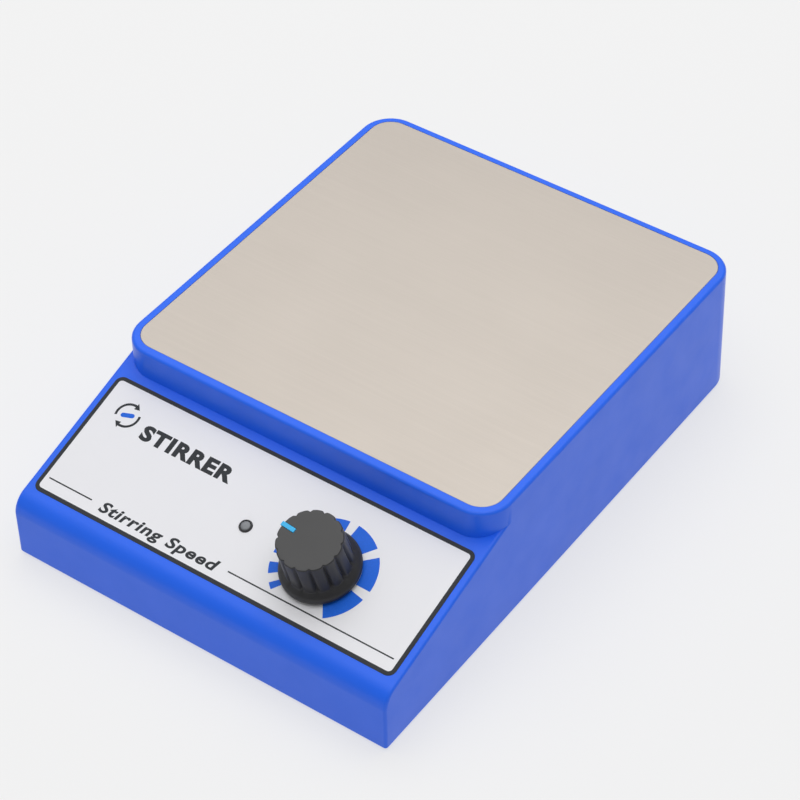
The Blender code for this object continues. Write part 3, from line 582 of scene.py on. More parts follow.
def deck_block(name, inset, bottom, top, corner, rounding=0.0, chamfer=0.0):
    """The part of the housing under the plate, its rear face leaning in by the draft."""
    low = (-HALF_WIDTH + inset, DECK_FRONT + inset, bottom)
    high = (HALF_WIDTH - inset, HALF_DEPTH - inset, top)
    bm = box_bmesh(low, high)
    for vert in bm.verts:
        if vert.co.y > 0:
            vert.co.y -= (vert.co.z - SHELL_BOTTOM) * tan(REAR_DRAFT)
    bevel(bm, [e for e in bm.edges if is_upright(e)], corner, 18)
    if rounding:
        bevel(bm, [e for e in bm.edges if at_height(e, top)], rounding, 5)
    if chamfer:
        bevel(bm, [e for e in bm.edges if at_height(e, bottom)], chamfer, 2)
    return mesh_object(name, bm)


def wedge_block(name, inset, bottom, rear, nose_radius, rounding=0.0, chamfer=0.0):
    """The low front of the housing, its top following the slope down to a rounded nose."""
    front = -HALF_DEPTH + inset
    drop = inset / cos(SLOPE)
    half = HALF_WIDTH - inset
    bm = box_bmesh((-half, front, bottom), (half, rear, bottom + 1))
    for vert in bm.verts:
        if vert.co.z > bottom + 0.5:
            vert.co.z = slope_height(vert.co.y) - drop
    nose = [e for e in bm.edges if all(v.co.y < front + 0.1 and v.co.z > bottom + 1 for v in e.verts)]
    bevel(bm, nose, nose_radius * tan((pi / 2 - SLOPE) / 2), 16)
    if rounding:
        sides = [
            e for e in bm.edges
            if all(abs(abs(v.co.x) - half) < 1e-4 for v in e.verts)
            and not at_height(e, bottom)
            and not all(v.co.y > rear - 0.1 for v in e.verts)
            and e.verts[0].co.x * e.verts[1].co.x > 0
        ]
        bevel(bm, sides, rounding, 6)
    if chamfer:
        bevel(bm, [e for e in bm.edges if at_height(e, bottom)], chamfer, 2)
    return mesh_object(name, bm)


def rear_face(z):
    """y of the rear wall's outer face at height z."""
    return HALF_DEPTH - (z - SHELL_BOTTOM) * tan(REAR_DRAFT)


def jack_place():
    """On the rear wall's outer face at the socket, Z outwards."""
    low, high = box_mm("dc_jack")
    z = (low.z + high.z) / 2
    return Matrix.Translation(((low.x + high.x) / 2, rear_face(z), z)) @ Matrix.Rotation(-pi / 2, 4, "X")


JACK_PLACE = jack_place()


def pierce(target, name, radius, place, sides=48, depth=DEEPEST):
    """A round hole, square to the surface at place."""
    boolean(target, cylinder(name, radius, depth, SHALLOWEST, matrix=place, sides=sides))


def make_housing():
    """Blue shell, open underneath, with its recesses for the plate, the overlay and the socket."""
    shell = deck_block(
        "blue_housing", 0, SHELL_BOTTOM, SHELL_TOP, CORNER_RADIUS, RIM_ROUNDING, BOTTOM_CHAMFER)
    boolean(shell, wedge_block(
        "wedge", 0, SHELL_BOTTOM, DECK_FRONT + 12, NOSE_RADIUS, SIDE_ROUNDING, BOTTOM_CHAMFER), "UNION")
    under = SHELL_BOTTOM - 1
    boolean(shell, deck_block("cavity", WALL, under, RECESS_FLOOR - DECK_WALL, CORNER_RADIUS - WALL))
    boolean(shell, wedge_block("cavity", WALL, under - 0.5, DECK_FRONT + WALL + 6, NOSE_RADIUS - WALL))
    boolean(shell, block(
        "plate_recess",
        (PLATE_LOW.x - PLATE_FIT, PLATE_LOW.y - PLATE_FIT, RECESS_FLOOR),
        (PLATE_HIGH.x + PLATE_FIT, PLATE_HIGH.y + PLATE_FIT, SHELL_TOP + 3),
        corner=PLATE_CORNER + PLATE_FIT, segments=18))
    fit = 0.06
    boolean(shell, block(
        "overlay_recess",
        (-OVERLAY_HALF_WIDTH - fit, OVERLAY_NEAR - fit, -OVERLAY_RECESS),
        (OVERLAY_HALF_WIDTH + fit, OVERLAY_FAR + fit, 3),
        corner=OVERLAY_CORNER + fit, segments=8, matrix=PANEL))
    pierce(shell, "bushing_hole", BUSHING_RADIUS + 0.2, KNOB_PLACE)
    pierce(shell, "lamp_hole", BEZEL_BARREL_RADIUS + 0.15, LAMP_PLACE, 32)
    pierce(shell, "jack_hole", JACK_BARREL_RADIUS + 0.25, JACK_PLACE)
    pierce(shell, "jack_recess", JACK_FLANGE_RADIUS + GAP, JACK_PLACE, 64, -JACK_RECESS)
    for x, y in BASE_SCREWS:
        top = RECESS_FLOOR - DECK_WALL + 0.6 if y > DECK_FRONT else slope_height(y) - 1.2
        boolean(shell, cylinder("boss", BOSS_RADIUS, BASE_TOP + GAP, top, at=(x, y), sides=32), "UNION")
        boolean(shell, cylinder("pilot", PILOT_RADIUS, BASE_TOP - 1, BASE_TOP + 9, at=(x, y), sides=24))
    piece(smooth(shell), BLUE, "stirrer", "housing")


def make_top_plate():
    spread = Vector((PLATE_SPREAD, PLATE_SPREAD, 0))
    plate = block(
        "satin_top_plate", PLATE_LOW - spread, PLATE_HIGH + spread, corner=PLATE_CORNER + PLATE_SPREAD,
        segments=18, top=0.15, bottom=0.1, edge_segments=3)
    piece(smooth(plate), PLATE_STEEL, "stirrer", "top_plate")


# ---------------------------------------------------------------- control panel


def make_overlay():
    film = block(
        "overlay_film",
        (-OVERLAY_HALF_WIDTH, OVERLAY_NEAR, OVERLAY_BOTTOM),
        (OVERLAY_HALF_WIDTH, OVERLAY_FAR, OVERLAY_TOP),
        corner=OVERLAY_CORNER, segments=10, top=0.06, matrix=PANEL)
    pierce(film, "hole", BUSHING_RADIUS + GAP, KNOB_PLACE)
    pierce(film, "hole", BEZEL_BARREL_RADIUS + 0.15, LAMP_PLACE, 32)
    piece(smooth(film), FILM, "stirrer", "panel_overlay")


INK_BOTTOM, INK_TOP = OVERLAY_TOP - 0.03, OVERLAY_TOP + 0.02


def printed(name, finish, outlines=(), rings=(), bottom=INK_BOTTOM):
    """Ink on the overlay: flat shapes given in the panel's own plane."""
    bm = bmesh.new()
    for outline in outlines:
        add_prism(bm, outline, bottom, INK_TOP)
    for outer, inner in rings:
        add_ring(bm, outer, inner, bottom, INK_TOP)
    bmesh.ops.recalc_face_normals(bm, faces=bm.faces)
    obj = mesh_object(name, bm, PANEL)
    obj.data.set_sharp_from_angle(angle=radians(30))
    piece(obj, finish, "stirrer")


FONT_CAP = 0.69  # cap height of the built-in font at size 1


def lettering(name, words, left, right, baseline, cap_height, weight, slant, spacing):
    """A generic word as a thin printed solid, from left to right on its baseline."""
    curve = bpy.data.curves.new(name, "FONT")
    curve.body = words
    curve.offset = weight
    curve.shear = slant
    curve.space_character = spacing
    curve.align_y = "BOTTOM_BASELINE"
    curve.resolution_u = 4
    curve.extrude = 0.1  # any thickness: the vertices are moved to the ink's own faces below
    source = link(bpy.data.objects.new("lettering_source", curve))
    graph = bpy.context.evaluated_depsgraph_get()
    mesh = bpy.data.meshes.new_from_object(source.evaluated_get(graph))
    bpy.data.objects.remove(source, do_unlink=True)
    bm = bmesh.new()
    bm.from_mesh(mesh)
    bmesh.ops.remove_doubles(bm, verts=bm.verts, dist=1e-5)
    start, end = min(v.co.x for v in bm.verts), max(v.co.x for v in bm.verts)
    for vert in bm.verts:
        vert.co.x = left + (vert.co.x - start) / (end - start) * (right - left)
        vert.co.y = baseline + (vert.co.y - weight) * cap_height / (FONT_CAP + weight)
        vert.co.z = INK_TOP if vert.co.z > 0 else INK_BOTTOM
    piece(mesh_object(name, bm, PANEL), DARK_INK, "stirrer")


def arrow_arc(radius, start, end, centre, width, head):
    """A curved arrow's outline, clockwise from start to end, its head before the end."""
    steps = 14
    neck = end + head * 1.25 / radius  # where the head starts
    outer = arc(radius + width / 2, start, neck, steps, centre)
    inner = arc(radius - width / 2, neck, start, steps, centre)
    wings = [
        (centre[0] + r * cos(a), centre[1] + r * sin(a))
        for r, a in ((radius + head * 0.72, neck), (radius, end), (radius - head * 0.72, neck))
    ]
    return outer + wings + inner


BORDER_WIDTH = 1.2
BORDER_LAP = 0.02  # the border's ink reaches this far past the film's edge
RULE_WIDTH = 0.42
DIAL_CENTRE = (27.05, -26.4)
DIAL_INNER, DIAL_OUTER = 10.8, 15.45
DIAL_START, DIAL_GAP = -126.5, 10.7  # degrees
SIGN_CENTRE, SIGN_RADIUS = (-51.7, -12.9), 3.7


def overlay_outline(spread):
    """The overlay's outline, moved outwards by spread."""
    return rounded_outline(
        -OVERLAY_HALF_WIDTH - spread, OVERLAY_NEAR - spread, OVERLAY_HALF_WIDTH + spread,
        OVERLAY_FAR + spread, OVERLAY_CORNER + spread)


def make_print():
    """Border, rules, dial, words and sign, all of them generic."""
    printed("overlay_border", DARK_INK, rings=[(overlay_outline(BORDER_LAP), overlay_outline(-BORDER_WIDTH))],
            bottom=OVERLAY_TOP - 0.25)
    printed("overlay_rules", DARK_INK, [
        stroke([(-59.6, -40.1), (-44.0, -40.1)], RULE_WIDTH),
        stroke([(4.1, -40.0), (59.5, -40.0)], RULE_WIDTH)])
    # The dial: eight bars of growing length round the knob.
    start = DIAL_START
    for k in range(8):
        width = 8.4 + 5.28 * k
        a, b = radians(start), radians(start - width)
        steps = max(4, round(width / 2.5))
        printed(f"dial_bar_{k + 1}", BLUE_INK, [
            arc(DIAL_OUTER, a, b, steps, DIAL_CENTRE) + arc(DIAL_INNER, b, a, steps, DIAL_CENTRE)])
        start -= width + DIAL_GAP
    lettering("speed_label", "Stirring Speed", -40.6, 0.8, -41.75, 3.4, weight=0.030, slant=0.20, spacing=1.1)
    lettering("title_label", "STIRRER", -44.6, -12.2, -17.0, 4.8, weight=0.05, slant=0.0, spacing=1.12)
    # The sign for stirring: a bar between two turning arrows.
    printed("turning_arrows", DARK_INK, [
        arrow_arc(SIGN_RADIUS, radians(200 + turn), radians(52 + turn), SIGN_CENTRE, 0.75, 1.5)
        for turn in (0, 180)])
    half, thick, tilt = 2.15, 0.72, radians(18)
    bar = arc(thick, pi / 2, 1.5 * pi, 8, (thick - half, 0))
    bar += arc(thick, -pi / 2, pi / 2, 8, (half - thick, 0))
    printed("stir_bar_sign", BLUE_INK, [[
        (SIGN_CENTRE[0] + x * cos(tilt) - y * sin(tilt), SIGN_CENTRE[1] + x * sin(tilt) + y * cos(tilt))
        for x, y in bar]])


def make_lamp():
    """Dark ring and its flat lens, on the overlay."""
    low = OVERLAY_TOP + 0.1
    inner = 1.5
    ring = round_profile(
        [(inner, low + 0.42), (1.78, low + 0.42), (2.04, low), (BEZEL_BARREL_RADIUS, low),
         (BEZEL_BARREL_RADIUS, -5.0), (inner, -5.0)], 0.1, 3, closed=True)
    bezel = lathe("lamp_bezel_ring", ring, 48, closed=True, matrix=LAMP_PLACE)
    piece(smooth(bezel), BLACK, "stirrer", "led_bezel")
    radius, flatness = 1.42, 0.22
    dome = [
        (radius * sin(radians(d)), low + 0.22 + radius * flatness * cos(radians(d))) for d in range(0, 91, 9)]
    lens = lathe("lamp_lens_dome", [*dome, (radius, -5.4), (0, -5.4)], 48, matrix=LAMP_PLACE)
    piece(smooth(lens), LENS, "stirrer", "indicator_led")


# ---------------------------------------------------------------- speed knob

KNOB_TOP = 15.9
KNOB_BOTTOM = 1.0
KNOB_TOP_RADIUS = 9.45
KNOB_WAIST_RADIUS = 9.8
KNOB_WAIST = 4.4  # height where the flutes end on the skirt
KNOB_SKIRT_RADIUS = 11.7
KNOB_EDGE = 0.35  # rounding of the top edge
KNOB_CAVITY = 7.2
FLUTES = 14
FLUTE_INNER = 7.6  # the top face is flat inside this radius
POINTER_ANGLE = radians(175)


def ease(t):
    """0 to 1, with a soft start and end."""
    t = max(0.0, min(1.0, t))
    return t * t * (3 - 2 * t)


def make_knob():
    """Fluted knob: convex lobes between narrow grooves that run out on a round skirt."""
    pitch = 2 * pi / FLUTES

    def flute(radius, height, angle):
        if radius < FLUTE_INNER or height < KNOB_WAIST - 0.5:
            return radius
        offset = (angle - POINTER_ANGLE + pitch / 2) % pitch - pitch / 2
        share = abs(offset) / (pitch / 2)
        groove = 0.75 * exp(-((share / 0.23) ** 2)) + 0.14 * (1 - share) ** 2
        run_out = ease((height - KNOB_WAIST + 0.5) / 1.5)
        shallower = 1 - 0.38 * ease((height - KNOB_TOP + 3.5) / 3.2)
        inward = ease((radius - FLUTE_INNER) / 1.2)
        return radius - groove * run_out * shallower * inward

    face = [(0, KNOB_TOP), (FLUTE_INNER, KNOB_TOP), (8.4, KNOB_TOP)]
    edge_low = KNOB_TOP - KNOB_EDGE
    corner = [
        (KNOB_TOP_RADIUS - KNOB_EDGE + KNOB_EDGE * sin(radians(d)), edge_low + KNOB_EDGE * cos(radians(d)))
        for d in range(0, 91, 18)
    ]
    rows = 16
    side = [
        (KNOB_TOP_RADIUS + (KNOB_WAIST_RADIUS - KNOB_TOP_RADIUS) * k / rows,
         edge_low - (edge_low - KNOB_WAIST) * k / rows)
        for k in range(1, rows)
    ]
    skirt = round_profile(
        [side[-1], (KNOB_WAIST_RADIUS, KNOB_WAIST, 1.0), (KNOB_SKIRT_RADIUS - 0.5, KNOB_WAIST - 1.2, 0.7),
         (KNOB_SKIRT_RADIUS, KNOB_WAIST - 2.0, 0.5), (KNOB_SKIRT_RADIUS, KNOB_BOTTOM, 0.6),
         (KNOB_CAVITY, KNOB_BOTTOM, 0.2), (KNOB_CAVITY, 5.6, 0.3),
         (3.1, 5.6, 0.2), (3.1, KNOB_TOP - 2.1, 0.1),
         (0, KNOB_TOP - 2.1)], 0.3, 4)
    profile = [*face, *corner, *side, *skirt[1:]]
    knob = lathe("fluted_speed_knob", profile, FLUTES * 26, radius_at=flute)
    floor_at = KNOB_TOP - 0.6
    turn = Matrix.Rotation(POINTER_ANGLE, 4, "Z")
    boolean(knob, block("slot", (5.1, -0.78, floor_at), (12.5, 0.78, KNOB_TOP + 1), matrix=turn))
    knob.data.transform(Matrix.Scale(1 / MM, 4))
    knob.data.transform(KNOB_PLACE)
    knob.data.transform(Matrix.Scale(MM, 4))
    piece(smooth(knob, 38), KNOB_BLACK, "knob", "speed_knob")
    inlay = block(
        "pointer_inlay", (5.2, -0.68, floor_at + 0.1), (9.85, 0.68, KNOB_TOP + 0.15), top=0.14, corner=0.14,
        segments=3, matrix=KNOB_PLACE @ turn)
    piece(smooth(inlay), POINTER_BLUE, "knob", "knob_pointer")


# ---------------------------------------------------------------- underside and rear


POCKET_DEPTH = 1.0
SCREW_HOLE, COUNTERBORE, COUNTERBORE_DEPTH = 1.7, 3.2, 1.3
POSTS = {  # post radius and top, bore radius, bottom and top
    "pcb_screw_": (2.6, 6.7, 1.25, BASE_TOP - 0.4, 9),
    "bracket_screw_": (3.4, BASE_TOP + 2.0, 1.45, BASE_TOP - 1.4, BASE_TOP + 3),
}


def make_base():
    """Black cover with foot pockets and screw counterbores."""
    front = block("flat", (BASE_LOW.x, BASE_LOW.y, BASE_BOTTOM), (BASE_HIGH.x, 0, BASE_TOP),
                  corner=1.0, segments=3)
    cover = block(
        "base_cover", (BASE_LOW.x, BASE_LOW.y + 20, BASE_BOTTOM), (BASE_HIGH.x, BASE_HIGH.y, BASE_TOP),
        corner=CORNER_RADIUS - WALL - GAP, segments=12)
    boolean(cover, front, "UNION")
    under = BASE_BOTTOM - 1
    for node in FEET:
        low, high = box_mm(node)
        radius = (high.x - low.x) / 2 + GAP
        boolean(cover, cylinder(
            "pocket", radius, under, BASE_BOTTOM + POCKET_DEPTH, at=middle(node)[:2], sides=64))
    for at in BASE_SCREWS:
        boolean(cover, cylinder("hole", SCREW_HOLE, under, BASE_TOP + 1, at=at, sides=32))
        boolean(cover, cylinder("counterbore", COUNTERBORE, under, BASE_BOTTOM + COUNTERBORE_DEPTH, at=at))
    # A shallow bed where a rating label would go, and moulded louvre grooves over the motor.
    boolean(cover, block("bed", (-24, -52, under), (24, -24, BASE_BOTTOM + 0.3), corner=1.5))
    for k in range(7):
        y = SPIN_AXIS.y - 18 + 6 * k
        boolean(cover, block("groove", (-20, y - 0.9, under), (20, y + 0.9, BASE_BOTTOM + 0.7),
                             corner=0.85, segments=6))
    for start, (radius, top, bore, bore_bottom, bore_top) in POSTS.items():
        for node in [n for n in frame["nodes"] if n.startswith(start)]:
            at = middle(node)[:2]
            boolean(cover, cylinder("post", radius, BASE_TOP - 0.5, top, at=at, sides=32), "UNION")
            boolean(cover, cylinder("bore", bore, bore_bottom, bore_top, at=at, sides=24))
    piece(smooth(cover), BLACK, "stirrer", "base_plate")


def make_feet():
    """Round rubber feet, each with a shallow ring groove in its sole."""
    for node in FEET:
        low, high = box_mm(node)
        centre = (low + high) / 2
        radius = (high.x - low.x) / 2
        profile = round_profile(
            [(0, high.z), (radius, high.z, 0.1), (radius, 0.6, 0.3), (radius - 0.6, 0, 0.3), (5.2, 0, 0.2),
             (4.9, 0.35, 0.2), (2.4, 0.35, 0.2), (2.1, 0, 0.2), (0, 0)], 0.2, 3)
        foot = lathe(f"rubber_{node}", profile, 64, matrix=Matrix.Translation((centre.x, centre.y, 0)))
        piece(smooth(foot), RUBBER, "stirrer", node)


def cross_screw(node, head_radius, head_height, shank_radius, length, up):
    """A thread-forming screw with a pan head and a cross recess."""
    low, high = box_mm(node)
    centre = (low + high) / 2
    seat = high.z - head_height if up else low.z + head_height
    pitch, depth = 0.9, 0.22
    tip = -length + 1.2

    def thread(radius, height, angle):
        if radius > shank_radius + 0.01 or height > -0.5 or height < tip:
            return radius
        phase = (height / pitch - angle / (2 * pi)) % 1.0
        return radius - depth * (1 - max(0.0, 1 - abs(phase - 0.5) * 3.2))

    head = round_profile(
        [(0, head_height), (head_radius * 0.62, head_height, 0.5), (head_radius, head_height * 0.5, 0.3),
         (head_radius, 0, 0.1), (shank_radius, 0, 0.1), (shank_radius, -0.5)], 0.1, 4)
    rows = int((-0.5 - tip) / (pitch / 7))
    shank = [(shank_radius, -0.5 + (tip + 0.5) * k / rows) for k in range(1, rows + 1)]
    point = [(shank_radius * 0.55, -length + 0.4), (0, -length)]
    flip = Matrix.Identity(4) if up else Matrix.Rotation(pi, 4, "X")
    place = Matrix.Translation((centre.x, centre.y, seat)) @ flip
    screw = lathe(f"fine_{node}", [*head, *shank, *point], 32, radius_at=thread, matrix=place)
    reach, half = head_radius * 0.55, 0.35
    for x, y in ((reach, half), (half, reach)):
        boolean(screw, block("slot", (-x, -y, head_height * 0.45), (x, y, head_height + 1), matrix=place))
    piece(smooth(screw, 40), ZINC, "stirrer", node)


SCREWS = {  # head radius, head height, shank radius, length, head upwards
    "base_screw_": (2.8, 1.1, 1.3, 9.0, False),
    "pcb_screw_": (2.2, 1.4, 1.1, 4.6, True),
    "motor_screw_": (2.4, 1.3, 1.1, 4.5, True),
    "bracket_screw_": (2.8, 1.6, 1.3, 4.4, True),
}


def make_screws():
    for node in sorted(frame["nodes"]):
        for start, sizes in SCREWS.items():
            if node.startswith(start):
                cross_screw(node, *sizes)


def make_jack():
    """Barrel socket with its flange sunk in the rear wall, and its centre pin."""
    bore, barrel, flange = JACK_BORE_RADIUS, JACK_BARREL_RADIUS, JACK_FLANGE_RADIUS
    outside, seat, bore_end, end = -0.3, -1.1, -10.5, -14.0
    profile = round_profile(
        [(0, bore_end), (bore, bore_end, 0.2), (bore, outside, 0.4), (flange, outside, 0.3),
         (flange, seat, 0.1), (barrel, seat, 0.1), (barrel, end, 0.3), (0, end)], 0.1, 4)
    piece(smooth(lathe("socket_body", profile, 64, matrix=JACK_PLACE)), BLACK, "stirrer", "dc_jack")
    tip, pin_end = -1.4, -10.2
    pin = round_profile(
        [(0, tip), (0.7, tip, 0.3), (1.05, -1.8, 0.2), (1.05, pin_end, 0.0), (0, pin_end)], 0.1, 4)
    piece(smooth(lathe("socket_pin", pin, 32, matrix=JACK_PLACE)), SHAFT_STEEL, "stirrer", "dc_jack_pin")


# ---------------------------------------------------------------- inner parts

BY_SLOT = {
    finish.slot: finish
    for finish in (
        BLUE, BLACK, KNOB_BLACK, POINTER_BLUE, CARRIER, CONNECTOR, SLEEVE, RED_WIRE, BLACK_WIRE, YELLOW_WIRE,
        RUBBER, ZINC, MOTOR_STEEL, SHAFT_STEEL, NICKEL, PLATE_STEEL, FILM, LENS, BOARD)
}
NODE_SLOT = {part["node"]: part["material_slot"] for part in frame["record"]["subparts"]}
NODE_BODY = {node: body for body, nodes in frame["record"]["behaviour"]["bodies"].items() for node in nodes}


def dress_inner_parts():
    """Materials for every CAD node, also for those that a finer piece stands for."""
    for name, node in frame["nodes"].items():
        for slot in node.material_slots:
            slot.material = BY_SLOT[NODE_SLOT[name]].material


def refine(node, name, width):
    """A copy of a CAD part with its sharp edges broken."""
    bm = bmesh.new()
    bm.from_mesh(frame["nodes"][node].data)
    bmesh.ops.remove_doubles(bm, verts=bm.verts, dist=1e-6)
    bmesh.ops.dissolve_limit(bm, angle_limit=radians(1), verts=bm.verts, edges=bm.edges)
    mesh = bpy.data.meshes.new(name)
    bm.to_mesh(mesh)
    bm.free()
    obj = link(bpy.data.objects.new(name, mesh))
    edges = obj.modifiers.new("edges", "BEVEL")
    edges.width = width * MM
    edges.segments = 2
    edges.limit_method = "ANGLE"
    edges.angle_limit = radians(35)
    apply_all(obj)
    piece(smooth(obj), BY_SLOT[NODE_SLOT[node]], NODE_BODY[node], node)


def add_box(bm, centre, size, bottom):
    """A box of that size, standing at bottom over centre."""
    x, y = size[0] / 2, size[1] / 2
    outline = [(centre[0] + sx * x, centre[1] + sy * y) for sx, sy in ((-1, -1), (1, -1), (1, 1), (-1, 1))]
    add_prism(bm, outline, bottom, bottom + size[2])


def board_piece(name, finish, fill):
    """Small things soldered on the board, made by fill(bm, height of the board's top)."""
    bm = bmesh.new()
    fill(bm, box_mm("control_pcb")[1].z)
    bmesh.ops.recalc_face_normals(bm, faces=bm.faces)
    bevel(bm, [e for e in bm.edges if e.calc_length() > 0.3 and e.is_manifold], 0.03, 1)
    obj = mesh_object(name, bm)
    obj.data.set_sharp_from_angle(angle=radians(30))
    piece(obj, finish, "stirrer")


TRACE_PATHS = [  # copper tracks under the solder mask, as x, y on the board
    # to the capacitor, from the power connector
    [(15.6, -9), (15.6, -12.5), (19.6, -16.5), (22, -16.5)],
    [(12.4, -9), (12.4, -14.5), (17.4, -19.5), (22.5, -19.5)],
    # to the chip's rear legs, from the motor connector and the resistors
    [(-5.6, -9), (-5.6, -11.4), (-1.95, -15.05), (-1.95, -15.9)],
    [(-2.4, -9), (-2.4, -13.3), (-0.65, -15.05), (-0.65, -15.9)],
    [(0.65, -15.9), (0.65, -14.6), (1.25, -14), (6.5, -14)],
    [(1.95, -15.9), (3.05, -17), (6.5, -17)],
    # from the chip's front legs to the resistors
    [(-1.95, -22.2), (-1.95, -22.9), (-4.05, -25)],
    [(-0.65, -22.2), (-0.65, -23.3), (1.05, -25)],
    [(0.65, -22.2), (0.65, -22.4), (2.95, -24.7), (2.95, -25)],
    [(1.95, -22.2), (4.15, -20), (6.5, -20)],
    # from the control connector to the resistors on the right
    [(10.7, -28.5), (10.7, -24), (8.45, -21.75), (8.45, -20)],
    [(14, -28.5), (14, -22.55), (8.45, -17)],
    [(17.3, -28.5), (17.3, -22.85), (8.45, -14)],
    # from the lamp connector to the resistors on the left and in front
    [(-15.6, -28.5), (-15.6, -24.65), (-11.95, -21), (-11.95, -20)],
    [(-12.4, -28.5), (-12.4, -26.5), (-10.9, -25), (-5.95, -25)],
    # from the transistor to the resistors and the motor connector
    [(-17.5, -20.4), (-17.5, -19.5), (-15, -17), (-11.95, -17)],
    [(-17.5, -15), (-16.5, -14), (-11.95, -14)],
    [(-22.5, -15), (-22.5, -11), (-19.5, -8), (-6.4, -8)],
]
TRACE_WIDTH = 0.5


def make_board_details():
    """Traces, chip legs and surface-mount resistors."""
    chip = middle("motor_controller_chip")
    resistors = [(x, y) for x in (-11.0, 7.5) for y in (-14.0, -17.0, -20.0)]
    resistors += [(-5.0, -25.0), (2.0, -25.0)]
    legs = [(chip.x - 1.95 + 1.3 * k, side) for k in range(4) for side in (-1, 1)]

    def fill_legs(bm, top):
        for x, side in legs:
            add_box(bm, (x, chip.y + side * 3.0), (0.42, 0.9, 0.16), top + 0.02)
            add_box(bm, (x, chip.y + side * 2.72), (0.42, 0.36, 0.75), top + 0.02)
        for x, y in resistors:
            for side in (-1, 1):
                add_box(bm, (x + side * 0.95, y), (0.42, 1.3, 0.56), top + 0.02)

    def fill_resistors(bm, top):
        for x, y in resistors:
            add_box(bm, (x, y), (1.44, 1.22, 0.52), top + 0.05)

    board_piece("chip_legs", ZINC, fill_legs)
    board_piece("surface_resistors", BLACK, fill_resistors)
    bm = bmesh.new()
    top = box_mm("control_pcb")[1].z
    for path in TRACE_PATHS:
        add_prism(bm, stroke(path, TRACE_WIDTH), top + 0.005, top + 0.04)
    bmesh.ops.recalc_face_normals(bm, faces=bm.faces)
    piece(mesh_object("board_traces", bm), TRACE, "stirrer")


def make_inner_parts():
    """Finer pieces for the CAD parts inside; the number is the width of the broken edges."""
    for node, name, width in (
        ("motor_can", "drawn_motor_can", 0.4), ("motor_end_cap", "moulded_end_cap", 0.25),
        ("motor_shaft", "ground_shaft", 0.15), ("motor_bracket", "bent_sheet_bracket", 0.12),
        ("magnet_carrier", "moulded_carrier", 0.35), ("magnet_1", "plated_magnet_1", 0.2),
        ("magnet_2", "plated_magnet_2", 0.2), ("control_pcb", "routed_board", 0.08),
        ("filter_capacitor", "sleeved_capacitor", 0.35), ("power_transistor", "moulded_transistor", 0.12),
        ("motor_controller_chip", "moulded_chip", 0.12), ("power_connector", "power_header", 0.15),
        ("motor_connector", "motor_header", 0.15), ("control_connector", "control_header", 0.15),
        ("lamp_connector", "lamp_header", 0.15), ("potentiometer_body", "crimped_potentiometer", 0.2),
        ("potentiometer_shaft", "potentiometer_spindle", 0.15),
        ("potentiometer_washer", "stamped_washer", 0.06), ("potentiometer_nut", "hex_nut_front", 0.15),
        ("dc_jack_nut", "hex_nut_rear", 0.2),
    ):
        refine(node, name, width)
    make_board_details()


# ---------------------------------------------------------------- stage, lights and camera


FLOOR_GLOW = 0.63
WALL_GLOW_FRONT, WALL_GLOW_REAR = 0.26, 0.42
CEILING_GLOW = 1.25
TOWARDS_REAR = (-0.58, 0.82, 0.0)
SOFTBOX_SIZE, SOFTBOX_HEIGHT = 1.4, 1.3  # metres


def make_stage():
    """A pale floor that glows a little, as a light table does, so that it stays pale far from the lamps."""
    bm = bmesh.new()
    bmesh.ops.create_grid(bm, x_segments=2, y_segments=2, size=6000)
    floor = mesh_object("floor", bm)
    pale = Finish("pale_floor", (0.25, 0.25, 0.25), 0.9, Emission_Color=(1, 1, 1, 1),
                  Emission_Strength=FLOOR_GLOW, Specular_IOR_Level=0.0)
    floor.data.materials.append(pale.material)


def softbox(name, x, y, power):
    """A square lamp that shines straight down, its place in metres."""
    data = bpy.data.lights.new(name, "AREA")
    data.shape = "RECTANGLE"
    data.size = data.size_y = SOFTBOX_SIZE
    data.energy = power
    lamp = link(bpy.data.objects.new(name, data))
    lamp.location = (x, y, SOFTBOX_HEIGHT)
    return lamp


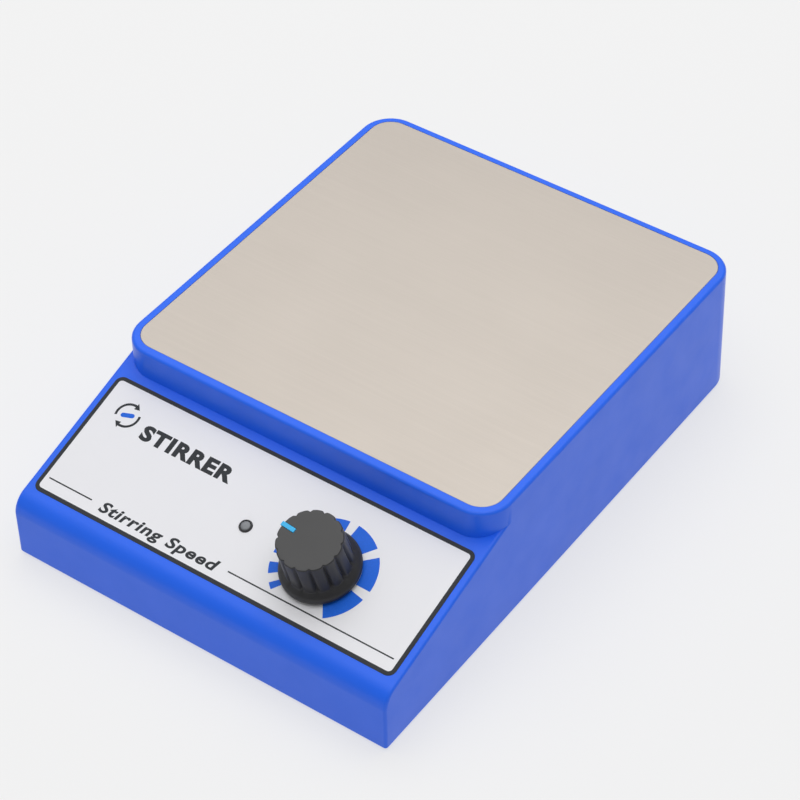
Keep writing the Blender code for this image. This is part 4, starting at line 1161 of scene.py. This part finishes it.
def make_lights():
    """Soft studio light: two softboxes in a room whose ceiling is brighter than its walls."""
    world = bpy.data.worlds.new("studio")
    bpy.context.scene.world = world
    world.use_nodes = True
    nodes, links = world.node_tree.nodes, world.node_tree.links
    direction = nodes.new("ShaderNodeTexCoord").outputs["Generated"]
    height = nodes.new("ShaderNodeSeparateXYZ")
    links.new(direction, height.inputs[0])
    rearward = nodes.new("ShaderNodeVectorMath")
    rearward.operation = "DOT_PRODUCT"
    rearward.inputs[1].default_value = TOWARDS_REAR
    links.new(direction, rearward.inputs[0])
    walls = map_range(nodes, links, rearward.outputs["Value"], -0.4, 0.4, WALL_GLOW_FRONT, WALL_GLOW_REAR)
    room = nodes.new("ShaderNodeMix")
    links.new(map_range(nodes, links, height.outputs["Z"], 0.62, 0.95, 0.0, 1.0), room.inputs["Factor"])
    links.new(walls, room.inputs["A"])
    room.inputs["B"].default_value = CEILING_GLOW
    nodes["Background"].inputs["Color"].default_value = (1.0, 1.0, 1.0, 1.0)
    links.new(room.outputs["Result"], nodes["Background"].inputs["Strength"])
    overhead = softbox("overhead_softbox", 0.0, 0.0, 6.2)
    overhead.visible_glossy = False  # the steel plate reflects the room, not this lamp
    softbox("rear_softbox", -0.55, 0.80, 4.9)


def make_camera():
    """Stands to the front right of the object and looks down on it."""
    target = Vector((8.5, 11.1, 20.0))
    distance = 803.4
    azimuth, elevation, roll = radians(35.27), radians(43.54), radians(-0.506)
    back = Vector((sin(azimuth) * cos(elevation), -cos(azimuth) * cos(elevation), sin(elevation)))
    data = bpy.data.cameras.new("camera")
    data.sensor_width = 36.0
    data.lens = 123.87
    data.shift_x, data.shift_y = -0.0405, -0.0006
    data.dof.use_dof = False
    data.clip_start, data.clip_end = 0.05, 30.0
    camera = link(bpy.data.objects.new("camera", data))
    turn = Matrix.Rotation(azimuth, 3, "Z") @ Matrix.Rotation(pi / 2 - elevation, 3, "X")
    turn = turn @ Matrix.Rotation(roll, 3, "Z")
    camera.location = (target + back * distance) * MM
    camera.rotation_euler = turn.to_euler()
    bpy.context.scene.camera = camera
    bpy.context.scene.view_settings.view_transform = "Standard"


make_camera()
dress_inner_parts()
make_housing()
make_top_plate()
make_overlay()
make_print()
make_lamp()
make_knob()
make_base()
make_feet()
make_screws()
make_jack()
make_inner_parts()
make_stage()
make_lights()
